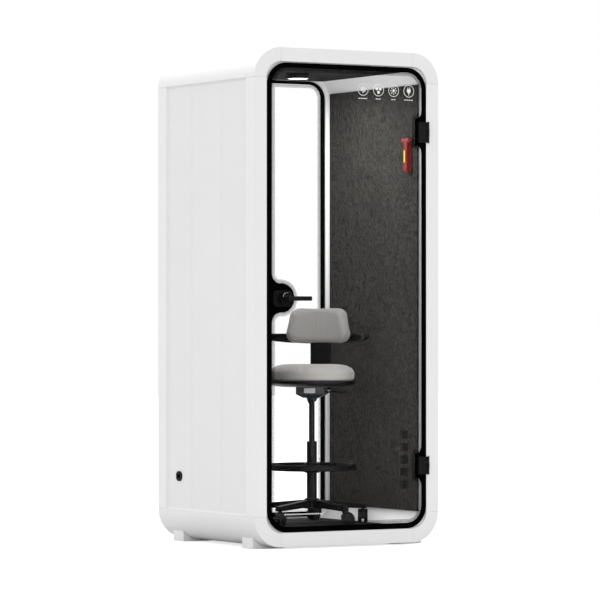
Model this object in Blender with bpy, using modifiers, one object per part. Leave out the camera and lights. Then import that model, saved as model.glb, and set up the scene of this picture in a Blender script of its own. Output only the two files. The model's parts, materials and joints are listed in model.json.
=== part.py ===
"""Study carrel: a one-person acoustic booth with a glass door and a drafting stool.

Metres, +Z up.  Every piece is drawn from the front-bottom datum: X = 0 on the middle of the
booth, Y = 0 on the front face, Z = 0 on the underside of the shell.  The datum empty then
moves the whole carrel so that its box stands centred on the world origin.
"""
import math

import bmesh
import bpy
from mathutils import Matrix, Vector

# ---- clearances -----------------------------------------------------------------------
FIT = 0.0003                    # face gap between pieces that touch
RUN = 0.0005                    # running clearance of turning and sliding pieces
ARC_STEPS = 9                   # straight steps in a quarter of a large arc
SMALL_STEPS = 4                 # straight steps in a quarter of a small arc

# ---- shell ----------------------------------------------------------------------------
WIDTH = 1.000
DEPTH = 0.928
HEIGHT = 2.299
CORNER_R = 0.142                # outside radius of the four long corner mouldings
BORDER = 0.066                  # wall seen from the front, all round the opening
POST_DEPTH = 0.080
PANEL_RIM = 0.012               # sloped rim of a side panel
PANEL_RECESS = 0.010
BOARD_WIDTH = 0.290             # middle board of a side panel
GROOVE = 0.002
FELT = 0.009
FELT_START = 0.068              # felt lining starts this far behind the front face
FELT_END = 0.058                # and stops this far in front of the rear face

# ---- floor, ceiling and feet ----------------------------------------------------------
DECK_RISE = 0.009               # top of the deck above the opening's lower edge
DECK_THICK = 0.0065
DECK_SIDE = 0.125               # from the shell's side to the deck
DECK_START = 0.040
DECK_END = 0.043
CEILING_DROP = 0.0165           # underside of the ceiling panel below the shell's inner face
CEILING_THICK = 0.010
CEILING_SIDE = 0.115            # from the shell's side to the ceiling panel
TRAY_SKIN = 0.014               # roof and base skin over their hollow
TRAY_WALL = 0.058
FOOT_DROP = 0.0095
FOOT_WIDTH = 0.166
FOOT_DEPTH = 0.100
FOOT_SIDE = 0.041               # from the shell's side to the foot
FOOT_FRONT = 0.085
FOOT_REAR = 0.077

# ---- door, seal and rear window -------------------------------------------------------
GLASS = 0.010
GLASS_SET = 0.002               # door glass lies this far behind the frame's face
WINDOW_SET = 0.012              # and the rear window this far from the rear face
DOOR_GAP = 0.004
SEAL_WIDTH = 0.010
SEAL_THICK = 0.006
RING_ROUND = 0.090              # corner radius of the holes in the seal and the trim ring
TRIM_WIDTH = 0.015              # ring that holds the rear window against its rebate
TRIM_THICK = 0.008

HINGE_PIN_R = 0.0025
KNUCKLE_R = 0.006
PIN_OUT = 0.0065                # pin axis in front of the frame's face
PIN_SIDE = 0.004                # pin axis outside the opening's edge
LEAF_REACH = 0.0460             # leaf on the glass, from the opening's edge
BRACKET_REACH = 0.0130          # bracket on the frame, from the opening's edge
BRACKET_THICK = 0.005
HINGE_TOP_DROP = 0.372          # middle of the top hinge below the shell's top
HINGE_TOP_TALL = 0.100
HINGE_LOW_HEIGHT = 0.361
HINGE_LOW_TALL = 0.086

LOCK_HEIGHT = 1.143
LOCK_SIZE = (0.1015, 0.076)
LOCK_EDGE = 0.0315              # lock plate from the opening's edge
LOCK_PLATE = 0.0100
LOCK_CORE = 0.049
ROSE_R = 0.0275
ROSE_THICK = 0.008
SPINDLE_SIDE = 0.089            # spindle axis from the opening's edge
SPINDLE_R = 0.0045
NECK_R = 0.0115
LEVER_LENGTH = 0.1175
LEVER_TALL = 0.0205
LEVER_THICK = 0.013
LEVER_REACH = 0.060             # outside of the lever in front of the frame's face
BOLT_LENGTH = 0.046
BOLT_SIZE = (0.006, 0.014)
BOLT_SHY = 0.001                # bolt stops short of the jamb
BOLT_TRAVEL = 0.010

# ---- light, fan and services ----------------------------------------------------------
LIGHT_R = 0.054
LIGHT_TALL = 0.025
LIGHT_Y = 0.455
FAN_Y = 0.235
FAN_SIZE = 0.120
FAN_TALL = 0.025
FAN_BORE_R = 0.056
FAN_HUB_R = 0.021
FAN_BLADES = 7
SLOT_COUNT = 5
SLOT_SIZE = (0.090, 0.008)
SLOT_PITCH = 0.020
INTAKE_COUNT = 5
INTAKE_SIZE = (0.072, 0.0385)
INTAKE_PITCH = 0.0596
INTAKE_FIRST = 0.2625
INTAKE_Y = 0.181
POWER_Y = 0.732
POWER_Z = 0.3035
POWER_SIZE = (0.056, 0.046)

# ---- emergency hammer -----------------------------------------------------------------
HAMMER_Y = 0.135
HAMMER_DROP = 0.391             # top of the hammer below the shell's top
HAMMER_LENGTH = 0.155
HAMMER_GRIP = (0.028, 0.021)
HAMMER_HEAD = (0.078, 0.0125)
HAMMER_PLATE = 0.003

# ---- stool ----------------------------------------------------------------------------
STOOL_X = 0.103
STOOL_Y = 0.500
SEAT_TURN = math.radians(-41.0)     # the back rest stands behind this direction
BASE_TURN = math.radians(59.5)
LEGS = 5
CASTER_RING = 0.258
WHEEL_R = 0.0295
WHEEL_WIDTH = 0.018
WHEEL_GAP = 0.011
CASTER_TRAIL = 0.016
CASTER_TURNS = (20.0, 165.0, 250.0, -28.0, 238.0)
HOOD_R = 0.0345
STEM_R = 0.0055
TIP_LOW = 0.066
HUB_R = 0.040
HUB_TOP = 0.118
COLUMN_R = 0.0246
COLUMN_FOOT = 0.078
COLUMN_TOP = 0.391
ROD_R = 0.0143
ROD_ENGAGED = 0.080
RING_R = 0.2165
RING_BAR = 0.022
RING_TALL = 0.030
RING_Z = 0.268
MECHANISM_LOW = 0.581
MECHANISM_TALL = 0.070
MECHANISM_SIZE = (0.135, 0.110)
PAN_R = 0.2105
PAN_TALL = 0.028
CUSHION_R = 0.2125
CUSHION_TALL = 0.075
LIFT_LEVER = 0.105
BACK_PLATE_Y = 0.236
BACK_PLATE = (0.100, 0.011)
BACK_PLATE_TOP = 0.985
BACK_WIDE = 0.330
BACK_NARROW = 0.300
BACK_TALL = 0.171
BACK_LOW = 0.858
BACK_THICK = 0.050
BACK_ROUND = 0.045
ARM_TOP = 0.905
ARM_TALL = 0.049
ARM_TIP_TALL = 0.020
ARM_THICK = 0.026
ARM_SWEEP = math.radians(84.0)
ARM_FLAT = 0.24                 # share of the sweep that lies flat on the back plate

# ---- derived places -------------------------------------------------------------------
HALF = WIDTH / 2
OPEN_HALF = HALF - BORDER
OPEN_LOW = BORDER
OPEN_TOP = HEIGHT - BORDER
INNER_R = CORNER_R - BORDER
STRAIGHT = HALF - CORNER_R
PANEL_START = POST_DEPTH + FIT
PANEL_END = DEPTH - POST_DEPTH - FIT
GLASS_BACK = GLASS_SET + GLASS
DECK_TOP = BORDER + DECK_RISE
DECK_HALF = HALF - DECK_SIDE
CEILING_HALF = HALF - CEILING_SIDE
HAMMER_TOP = HEIGHT - HAMMER_DROP
HINGES = {"top": (HEIGHT - HINGE_TOP_DROP, HINGE_TOP_TALL),
          "bottom": (HINGE_LOW_HEIGHT, HINGE_LOW_TALL)}
PIN_X = OPEN_HALF + PIN_SIDE
SPINDLE_X = -OPEN_HALF + SPINDLE_SIDE
FELT_FACE = OPEN_HALF - FIT - FELT
PAN_LOW = MECHANISM_LOW + MECHANISM_TALL + FIT
CUSHION_LOW = PAN_LOW + PAN_TALL + FIT

# ---- finishes -------------------------------------------------------------------------
FINISHES = {
    "shell_white": ((0.78, 0.78, 0.78), 0.35, 0.0),
    "panel_white": ((0.74, 0.74, 0.74), 0.40, 0.0),
    "felt_charcoal": ((0.045, 0.044, 0.042), 0.95, 0.0),
    "ceiling_dark": ((0.03, 0.03, 0.03), 0.80, 0.0),
    "carpet_grey": ((0.06, 0.06, 0.06), 0.95, 0.0),
    "clear_glass": ((0.85, 0.90, 0.88), 0.02, 0.0),
    "black_plastic": ((0.012, 0.012, 0.012), 0.40, 0.0),
    "black_rubber": ((0.015, 0.015, 0.015), 0.70, 0.0),
    "white_rubber": ((0.72, 0.72, 0.72), 0.70, 0.0),
    "black_metal": ((0.015, 0.015, 0.016), 0.35, 0.6),
    "bare_steel": ((0.55, 0.55, 0.56), 0.30, 1.0),
    "lamp_white": ((0.95, 0.95, 0.92), 0.50, 0.0),
    "hammer_red": ((0.35, 0.02, 0.02), 0.40, 0.0),
    "seat_fabric": ((0.36, 0.35, 0.33), 0.90, 0.0),
}


# ---- helpers --------------------------------------------------------------------------
def clear_scene():
    for obj in list(bpy.data.objects):
        bpy.data.objects.remove(obj, do_unlink=True)


def new_collection(name):
    group = bpy.data.collections.new(name)
    bpy.context.scene.collection.children.link(group)
    return group


def finish_material(name):
    """The finish's Principled material, made once and shared by name."""
    found = bpy.data.materials.get(name)
    if found:
        return found
    colour, roughness, metallic = FINISHES[name]
    material = bpy.data.materials.new(name)
    material.use_nodes = True
    shader = material.node_tree.nodes["Principled BSDF"]
    shader.inputs["Base Color"].default_value = (*colour, 1.0)
    shader.inputs["Roughness"].default_value = roughness
    shader.inputs["Metallic"].default_value = metallic
    return material


def empty(name, location, parent=None, turn=0.0):
    obj = bpy.data.objects.new(name, None)
    PIECES.objects.link(obj)
    obj.parent = parent
    obj.location = location
    obj.rotation_euler = (0.0, 0.0, turn)
    return obj


def add_mesh(name, bm, finish, parent, location=(0, 0, 0), smooth=False):
    """Link a bmesh as a named piece."""
    bmesh.ops.recalc_face_normals(bm, faces=bm.faces)
    mesh = bpy.data.meshes.new(name)
    bm.to_mesh(mesh)
    bm.free()
    if smooth:
        mesh.shade_smooth()
        mesh.set_sharp_from_angle(angle=math.radians(35))
    obj = bpy.data.objects.new(name, mesh)
    PIECES.objects.link(obj)
    obj.parent = parent
    obj.location = location
    if finish:
        obj.data.materials.append(finish_material(finish))
    return obj


def box_mesh(low, high):
    bm = bmesh.new()
    bmesh.ops.create_cube(bm, size=1.0)
    low, high = Vector(low), Vector(high)
    size = Matrix.Diagonal((*(high - low), 1.0))
    bmesh.ops.transform(bm, matrix=Matrix.Translation((low + high) / 2) @ size, verts=bm.verts)
    return bm


def box(name, low, high, finish, parent, location=(0, 0, 0)):
    return add_mesh(name, box_mesh(low, high), finish, parent, location)


def rod_mesh(radius, start, end, segments=20, end_radius=None):
    """A cylinder or cone from start to end."""
    start, end = Vector(start), Vector(end)
    along = end - start
    bm = bmesh.new()
    bmesh.ops.create_cone(bm, cap_ends=True, segments=segments, radius1=radius,
                          radius2=radius if end_radius is None else end_radius,
                          depth=along.length)
    turn = Vector((0, 0, 1)).rotation_difference(along).to_matrix().to_4x4()
    bmesh.ops.transform(bm, matrix=Matrix.Translation((start + end) / 2) @ turn, verts=bm.verts)
    return bm


def rod(name, radius, start, end, finish, parent, segments=20, end_radius=None):
    bm = rod_mesh(radius, start, end, segments, end_radius)
    return add_mesh(name, bm, finish, parent, smooth=True)


def turned(name, profile, finish, parent, segments=32, location=(0, 0, 0)):
    """A closed profile of (radius, height) points, run top to bottom outside, spun round Z."""
    bm = bmesh.new()
    points = [bm.verts.new((radius, 0, height)) for radius, height in profile]
    for first, second in zip(points, points[1:]):
        bm.edges.new((first, second))
    if profile[0][0] > 0:
        bm.edges.new((points[-1], points[0]))
    mesh = bpy.data.meshes.new(name)
    bm.to_mesh(mesh)
    bm.free()
    obj = bpy.data.objects.new(name, mesh)
    PIECES.objects.link(obj)
    obj.parent = parent
    obj.location = location
    screw = obj.modifiers.new("turn", "SCREW")
    screw.steps = segments
    screw.render_steps = segments
    screw.use_merge_vertices = True
    screw.merge_threshold = 0.0001
    screw.use_smooth_shade = False
    solid = as_mesh(obj, name, finish, parent, location)
    solid.data.shade_smooth()
    solid.data.set_sharp_from_angle(angle=math.radians(35))
    return solid


def as_mesh(source, name, finish, parent, location=(0, 0, 0), turn=(0, 0, 0)):
    """Replace an object by the welded mesh that it evaluates to."""
    graph = bpy.context.evaluated_depsgraph_get()
    mesh = bpy.data.meshes.new_from_object(source.evaluated_get(graph))
    bm = bmesh.new()
    bm.from_mesh(mesh)
    bmesh.ops.remove_doubles(bm, verts=bm.verts, dist=0.00001)
    bmesh.ops.recalc_face_normals(bm, faces=bm.faces)
    bm.to_mesh(mesh)
    bm.free()
    bpy.data.objects.remove(source, do_unlink=True)
    mesh.name = name
    mesh.materials.clear()
    obj = bpy.data.objects.new(name, mesh)
    PIECES.objects.link(obj)
    obj.parent = parent
    obj.location = location
    obj.rotation_euler = turn
    if finish:
        mesh.materials.append(finish_material(finish))
    return obj


def plate(name, loops, thickness, finish, parent, location=(0, 0, 0), turn=(0, 0, 0)):
    """A flat sheet cut to the first loop, with the other loops as holes."""
    curve = bpy.data.curves.new(name, "CURVE")
    curve.dimensions = "2D"
    curve.fill_mode = "BOTH"
    curve.extrude = thickness / 2
    for loop in loops:
        spline = curve.splines.new("POLY")
        spline.points.add(len(loop) - 1)
        for point, (x, y) in zip(spline.points, loop):
            point.co = (x, y, 0.0, 1.0)
        spline.use_cyclic_u = True
    outline = bpy.data.objects.new(name + "_outline", curve)
    PIECES.objects.link(outline)
    return as_mesh(outline, name, finish, parent, location, turn)


UPRIGHT = (math.pi / 2, 0.0, 0.0)           # sheet in XZ, thickness along Y
SIDEWAYS = (math.pi / 2, 0.0, math.pi / 2)  # sheet in YZ, thickness along X


def arc(centre, radius, start, end, steps):
    """Points along an arc, degrees, both ends included."""
    angles = [math.radians(start + (end - start) * i / steps) for i in range(steps + 1)]
    return [(centre[0] + radius * math.cos(a), centre[1] + radius * math.sin(a)) for a in angles]


def rounded(half_x, low, high, radius, steps=ARC_STEPS):
    """A rectangle with round corners, centred on x = 0."""
    right, top, bottom = half_x - radius, high - radius, low + radius
    points = arc((right, top), radius, 0, 90, steps)
    points += arc((-right, top), radius, 90, 180, steps)
    points += arc((-right, bottom), radius, 180, 270, steps)
    points += arc((right, bottom), radius, 270, 360, steps)
    return points


def rectangle(low, high):
    return [(low[0], low[1]), (high[0], low[1]), (high[0], high[1]), (low[0], high[1])]


def combine(piece, other, operation):
    """Boolean with a helper shape that shares the piece's parent; the shape is then removed."""
    other.hide_render = True
    other.display_type = "WIRE"
    bpy.context.view_layer.update()
    change = piece.modifiers.new(operation.lower(), "BOOLEAN")
    change.operation = operation
    change.solver = "EXACT"
    change.object = other
    bpy.context.view_layer.update()
    graph = bpy.context.evaluated_depsgraph_get()
    mesh = bpy.data.meshes.new_from_object(piece.evaluated_get(graph))
    piece.modifiers.remove(change)
    old = piece.data
    name = old.name
    piece.data = mesh
    bpy.data.meshes.remove(old)
    mesh.name = name
    bpy.data.objects.remove(other, do_unlink=True)


def cut(piece, bm):
    """Take a helper bmesh, drawn in the piece's own frame, out of the piece."""
    combine(piece, helper(piece, bm), "DIFFERENCE")


def join(piece, bm):
    """Add a helper bmesh, drawn in the piece's own frame, to the piece."""
    combine(piece, helper(piece, bm), "UNION")


def helper(piece, bm):
    bmesh.ops.recalc_face_normals(bm, faces=bm.faces)
    mesh = bpy.data.meshes.new("helper")
    bm.to_mesh(mesh)
    bm.free()
    obj = bpy.data.objects.new("helper", mesh)
    CUTTERS.objects.link(obj)
    obj.parent = piece.parent
    obj.location = piece.location
    obj.rotation_euler = piece.rotation_euler
    return obj


# ---- shell ----------------------------------------------------------------------------
def corner_mouldings(parent):
    """Four quarter-round mouldings that run the whole depth of the carrel."""
    corners = {"top_right": (1, 1), "top_left": (-1, 1),
               "bottom_left": (-1, -1), "bottom_right": (1, -1)}
    starts = {(1, 1): 0, (-1, 1): 90, (-1, -1): 180, (1, -1): 270}
    for name, (side, level) in corners.items():
        centre = (side * STRAIGHT, HEIGHT - CORNER_R if level > 0 else CORNER_R)
        start = starts[(side, level)]
        outline = arc(centre, CORNER_R, start, start + 90, ARC_STEPS)
        outline += arc(centre, INNER_R, start + 90, start, ARC_STEPS)
        plate("corner_" + name, [outline], DEPTH, "shell_white", parent,
              (0, DEPTH / 2, 0), UPRIGHT)


def posts(parent):
    """Four upright posts between the corner mouldings."""
    for end, start in (("front", 0.0), ("rear", DEPTH - POST_DEPTH)):
        for side_name, side in (("left", -1), ("right", 1)):
            inner, outer = sorted((side * OPEN_HALF, side * HALF))
            box("%s_post_%s" % (end, side_name),
                (inner, start, CORNER_R + FIT),
                (outer, start + POST_DEPTH, HEIGHT - CORNER_R - FIT),
                "shell_white", parent)


def tray_slots(centre_y, low, high):
    """Helper boxes of the air slots over and under the fan."""
    first = centre_y - SLOT_PITCH * (SLOT_COUNT - 1) / 2
    for i in range(SLOT_COUNT):
        middle = first + i * SLOT_PITCH
        yield box_mesh((-SLOT_SIZE[0] / 2, middle - SLOT_SIZE[1] / 2, low),
                       (SLOT_SIZE[0] / 2, middle + SLOT_SIZE[1] / 2, high))


def roof_and_base(parent):
    """Box panels across the top and bottom, each hollow on the side that is covered."""
    half = STRAIGHT - FIT
    roof = box("roof", (-half, 0, HEIGHT - BORDER), (half, DEPTH, HEIGHT), "shell_white", parent)
    cut(roof, box_mesh((-half + TRAY_WALL, POST_DEPTH + TRAY_WALL / 2, HEIGHT - BORDER - 0.01),
                       (half - TRAY_WALL, DEPTH - POST_DEPTH, HEIGHT - TRAY_SKIN)))
    for slot in tray_slots(FAN_Y, HEIGHT - TRAY_SKIN - 0.01, HEIGHT + 0.01):
        cut(roof, slot)
    base = box("base", (-half, 0, 0), (half, DEPTH, BORDER), "shell_white", parent)
    cut(base, box_mesh((-half + FOOT_WIDTH / 2 + TRAY_WALL, FOOT_FRONT + FOOT_DEPTH, -0.01),
                       (half - FOOT_WIDTH / 2 - TRAY_WALL, DEPTH - FOOT_REAR - FOOT_DEPTH,
                        BORDER - TRAY_SKIN)))


def side_panels(parent):
    """Side panels: a flat field of three boards, sunk inside a sloped rim."""
    low, high = CORNER_R + FIT, HEIGHT - CORNER_R - FIT
    for name, side in (("left", -1), ("right", 1)):
        inner, outer = sorted((side * OPEN_HALF, side * HALF))
        bm = box_mesh((inner, PANEL_START, low), (outer, PANEL_END, high))
        field = [face for face in bm.faces if face.normal.x * side > 0.9]
        bmesh.ops.inset_region(bm, faces=field, thickness=PANEL_RIM, depth=-PANEL_RECESS)
        panel = add_mesh("side_panel_" + name, bm, "panel_white", parent)
        surface = side * (HALF - PANEL_RECESS)
        middle = (PANEL_START + PANEL_END) / 2
        for seam in (middle - BOARD_WIDTH / 2, middle + BOARD_WIDTH / 2):
            cut(panel, box_mesh((surface - GROOVE, seam - GROOVE / 2, low + PANEL_RIM),
                                (surface + GROOVE, seam + GROOVE / 2, high - PANEL_RIM)))
        if side < 0:
            cut(panel, power_shape(-HALF - 0.01, -OPEN_HALF - BORDER / 4, RUN))
        else:
            cut(panel, box_mesh((OPEN_HALF - 0.01, *intake_box(0.012)[0]),
                                (OPEN_HALF + 0.020, *intake_box(0.012)[1])))


def intake_box(margin):
    """Low and high (y, z) of the whole row of intake slots, with a margin."""
    last = INTAKE_FIRST + INTAKE_PITCH * (INTAKE_COUNT - 1)
    half_y, half_z = INTAKE_SIZE[0] / 2 + margin, INTAKE_SIZE[1] / 2 + margin
    return ((INTAKE_Y - half_y, INTAKE_FIRST - half_z), (INTAKE_Y + half_y, last + half_z))


def power_shape(start, end, margin=0.0):
    """The power inlet's body, a box with cut corners, from x = start to x = end."""
    half_y, half_z = 0.019 + margin, 0.014 + margin
    return box_mesh((start, POWER_Y - half_y, POWER_Z - half_z),
                    (end, POWER_Y + half_y, POWER_Z + half_z))


def linings(parent):
    """Felt on both side walls; the right one has the row of air intake slots."""
    low, high = CORNER_R + FIT, HEIGHT - CORNER_R - FIT
    for name, side in (("left", -1), ("right", 1)):
        loops = [rectangle((FELT_START, low), (DEPTH - FELT_END, high))]
        if side > 0:
            half_y, half_z = INTAKE_SIZE[0] / 2, INTAKE_SIZE[1] / 2
            for i in range(INTAKE_COUNT):
                middle = INTAKE_FIRST + i * INTAKE_PITCH
                loops.append(rectangle((INTAKE_Y - half_y, middle - half_z),
                                       (INTAKE_Y + half_y, middle + half_z)))
        plate("felt_" + name, loops, FELT, "felt_charcoal", parent,
              (side * (FELT_FACE + FELT / 2), 0, 0), SIDEWAYS)



def floor_and_ceiling(parent):
    box("floor_deck", (-DECK_HALF, DECK_START, DECK_TOP - DECK_THICK),
        (DECK_HALF, DEPTH - DECK_END, DECK_TOP), "carpet_grey", parent)
    low = OPEN_TOP - CEILING_DROP
    ceiling = box("ceiling_panel", (-CEILING_HALF, FELT_START, low),
                  (CEILING_HALF, DEPTH - FELT_END, low + CEILING_THICK), "ceiling_dark", parent)
    for slot in tray_slots(FAN_Y, low - 0.01, low + CEILING_THICK + 0.01):
        cut(ceiling, slot)


def feet(parent):
    """Four blocks that are hollowed on top to fit the shell's rounded underside."""
    outer = -HALF + FOOT_SIDE
    inner = outer + FOOT_WIDTH
    centre = (-STRAIGHT, CORNER_R)
    start = math.degrees(math.asin((outer - centre[0]) / (CORNER_R + FIT)))
    top = arc(centre, CORNER_R + FIT, 270 + start, 270, ARC_STEPS)
    outline = [(outer, -FOOT_DROP)] + top + [(inner, -FIT), (inner, -FOOT_DROP)]
    rows = {"front": FOOT_FRONT, "rear": DEPTH - FOOT_REAR - FOOT_DEPTH}
    for end, y in rows.items():
        for side_name, side in (("left", 1), ("right", -1)):
            loop = [(side * x, z) for x, z in outline]
            plate("foot_%s_%s" % (end, side_name), [loop], FOOT_DEPTH, "shell_white", parent,
                  (0, y + FOOT_DEPTH / 2, 0), UPRIGHT)


def glazing(parent):
    """Rear window with its trim ring, and the soft ring that the door closes on."""
    window = rounded(OPEN_HALF - FIT, OPEN_LOW + FIT, OPEN_TOP - FIT, INNER_R - FIT)
    plate("rear_window", [window], GLASS, "clear_glass", parent,
          (0, DEPTH - WINDOW_SET - GLASS / 2, 0), UPRIGHT)
    plate("window_trim", [window, ring_hole(TRIM_WIDTH)], TRIM_THICK, "shell_white", parent,
          (0, DEPTH - WINDOW_SET - GLASS - FIT - TRIM_THICK / 2, 0), UPRIGHT)
    plate("door_seal", [window, ring_hole(SEAL_WIDTH)], SEAL_THICK, "white_rubber", parent,
          (0, GLASS_BACK + 2 * FIT + SEAL_THICK / 2, 0), UPRIGHT)


def ring_hole(width):
    """Inner outline of a ring of this width that lines the opening."""
    return rounded(OPEN_HALF - width, OPEN_LOW + width, OPEN_TOP - width, RING_ROUND)


# ---- door -----------------------------------------------------------------------------
def door(parent, axis):
    """The glass leaf, notched at its edge for the lock."""
    half = OPEN_HALF - DOOR_GAP
    outline = rounded(half, OPEN_LOW + DOOR_GAP, OPEN_TOP - DOOR_GAP, INNER_R - DOOR_GAP)
    glass = plate("door_glass", [outline], GLASS, "clear_glass", axis,
                  (-PIN_X, PIN_OUT + GLASS_SET + GLASS / 2, 0), UPRIGHT)
    notch = LOCK_CORE / 2 + FIT
    cut(glass, box_mesh((-half - 0.01, LOCK_HEIGHT - notch, -GLASS),
                        (SPINDLE_X + 0.014 + FIT, LOCK_HEIGHT + notch, GLASS)))
    for name, (height, tall) in HINGES.items():
        hinge(parent, axis, name, height, tall)
    lock(axis)


def hinge(parent, axis, name, height, tall):
    """A bracket with its pin on the frame, and a leaf that turns on the pin."""
    third = tall / 6
    low, high = height - tall / 2, height + tall / 2
    bracket = box("hinge_bracket_" + name,
                  (PIN_X + KNUCKLE_R + RUN, -FIT - BRACKET_THICK, low),
                  (OPEN_HALF + BRACKET_REACH, -FIT, high), "black_metal", parent)
    join(bracket, box_mesh((PIN_X, -FIT - BRACKET_THICK, height - third + RUN),
                           (PIN_X + KNUCKLE_R + 0.004, -FIT - 0.001, height + third - RUN)))
    join(bracket, rod_mesh(KNUCKLE_R, (PIN_X, -PIN_OUT, height - third + RUN),
                           (PIN_X, -PIN_OUT, height + third - RUN)))
    join(bracket, rod_mesh(HINGE_PIN_R, (PIN_X, -PIN_OUT, low), (PIN_X, -PIN_OUT, high), 12))

    inset = 0.002
    low, high = low + inset, high - inset
    edge = -KNUCKLE_R + 0.0015
    leaf = box("hinge_leaf_" + name,
               (OPEN_HALF - LEAF_REACH - PIN_X, 0.0005, low),
               (edge, PIN_OUT + GLASS_SET - FIT, high), "black_metal", axis)
    for start, end in ((low, height - third), (height + third, high)):
        join(leaf, rod_mesh(KNUCKLE_R, (0, 0, start), (0, 0, end)))
    cut(leaf, box_mesh((-KNUCKLE_R - RUN, -0.02, height - third), (0.02, 0.03, height + third)))
    cut(leaf, rod_mesh(HINGE_PIN_R + FIT, (0, 0, low - 0.01), (0, 0, high + 0.01), 12))


def lock(axis):
    """The lock case through the glass, its two levers, their spindle and the latch bolt."""
    left = -OPEN_HALF + LOCK_EDGE - PIN_X
    spindle_x = SPINDLE_X - PIN_X
    front = PIN_OUT + GLASS_SET - FIT
    back = PIN_OUT + GLASS_BACK + FIT
    low, high = LOCK_HEIGHT - LOCK_SIZE[1] / 2, LOCK_HEIGHT + LOCK_SIZE[1] / 2
    middle = left + LOCK_SIZE[0] / 2
    outline = [(middle + x, z) for x, z in
               rounded(LOCK_SIZE[0] / 2, low, high, 0.020, SMALL_STEPS)]
    case = plate("lock_case", [outline], LOCK_PLATE, "black_plastic", axis,
                 (0, front - LOCK_PLATE / 2, 0), UPRIGHT)
    depth = front - LOCK_PLATE / 2
    core_end = spindle_x + 0.014
    core_start = -OPEN_HALF + DOOR_GAP - PIN_X
    half = LOCK_CORE / 2
    # the sheet stands upright, so its own Y is the world's Z and its own Z is minus Y
    join(case, box_mesh((core_start, LOCK_HEIGHT - half, depth - back + FIT),
                        (core_end, LOCK_HEIGHT + half, -LOCK_PLATE / 2 - 2 * FIT)))
    join(case, box_mesh((left + 0.003, LOCK_HEIGHT - half + 0.001, depth - back - 0.001),
                        (core_end - 0.001, LOCK_HEIGHT + half - 0.001, 0)))
    join(case, box_mesh((left, low, depth - back - LOCK_PLATE),
                        (left + LOCK_SIZE[0], high, depth - back)))
    join(case, rod_mesh(ROSE_R, (spindle_x, LOCK_HEIGHT, 0),
                        (spindle_x, LOCK_HEIGHT, LOCK_PLATE / 2 + ROSE_THICK), 24))
    cut(case, rod_mesh(SPINDLE_R + RUN, (spindle_x, LOCK_HEIGHT, -0.1),
                       (spindle_x, LOCK_HEIGHT, 0.1), 16))
    bolt_y = PIN_OUT + GLASS_SET + GLASS / 2
    half_y, half_z = BOLT_SIZE[0] / 2, BOLT_SIZE[1] / 2
    bolt_start = -OPEN_HALF + BOLT_SHY - PIN_X
    cut(case, box_mesh((core_start - 0.01, LOCK_HEIGHT - half_z - RUN, depth - bolt_y - half_y - RUN),
                       (bolt_start + BOLT_LENGTH + BOLT_TRAVEL + RUN, LOCK_HEIGHT + half_z + RUN,
                        depth - bolt_y + half_y + RUN)))

    latch = empty("latch_axis", (bolt_start, bolt_y, LOCK_HEIGHT), axis)
    bolt = box_mesh((0, -half_y, -half_z), (BOLT_LENGTH, half_y, half_z))
    nose = [edge for edge in bolt.edges
            if all(v.co.x < 0.001 and v.co.y < 0 for v in edge.verts)]
    bmesh.ops.bevel(bolt, geom=nose, offset=half_y, segments=1, affect="EDGES")
    add_mesh("latch_bolt", bolt, "bare_steel", latch)

    turn = empty("lever_axis", (spindle_x, 0, LOCK_HEIGHT), axis)
    case_front = front - LOCK_PLATE - ROSE_THICK
    case_back = back + LOCK_PLATE
    lever_outer = PIN_OUT - LEVER_REACH
    lever("lever_outside", turn, case_front - RUN, lever_outer, -1)
    lever("lever_inside", turn, case_back + RUN, case_back + (case_front - lever_outer), 1)
    join(bpy.data.objects["lever_outside"],
         rod_mesh(SPINDLE_R, (0, case_front - RUN - 0.002, 0), (0, case_back + RUN - FIT, 0), 12))


def lever(name, parent, start, end, way):
    """A round neck and a flat bar with a round end, reaching towards the hinges."""
    bar = [(x, z) for x, z in arc((0, 0), LEVER_TALL / 2, 90, 270, SMALL_STEPS)]
    bar += arc((LEVER_LENGTH - 0.005, 0.005 - LEVER_TALL / 2), 0.005, 270, 360, 3)
    bar += arc((LEVER_LENGTH - 0.005, LEVER_TALL / 2 - 0.005), 0.005, 0, 90, 3)
    piece = plate(name, [bar], LEVER_THICK, "black_metal", parent,
                  (0, end - way * LEVER_THICK / 2, 0), UPRIGHT)
    near = (end - way * LEVER_THICK / 2) - start
    join(piece, rod_mesh(NECK_R, (0, 0, 0), (0, 0, near), 20, NECK_R * 1.2))


# ---- light, fan, services and hammer --------------------------------------------------
def ceiling_light(parent):
    top = OPEN_TOP - CEILING_DROP - FIT
    low = top - LIGHT_TALL
    lip = 0.006
    turned("light_housing", [(0.02, top), (LIGHT_R, top), (LIGHT_R, low), (LIGHT_R - lip, low),
                             (LIGHT_R - lip, low + 0.008), (0.02, low + 0.008)],
           "black_metal", parent, 32, (0, LIGHT_Y, 0))
    rod("light_diffuser", LIGHT_R - lip - FIT, (0, LIGHT_Y, low + 0.001),
        (0, LIGHT_Y, low + 0.008 - FIT), "lamp_white", parent, 32)


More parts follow.
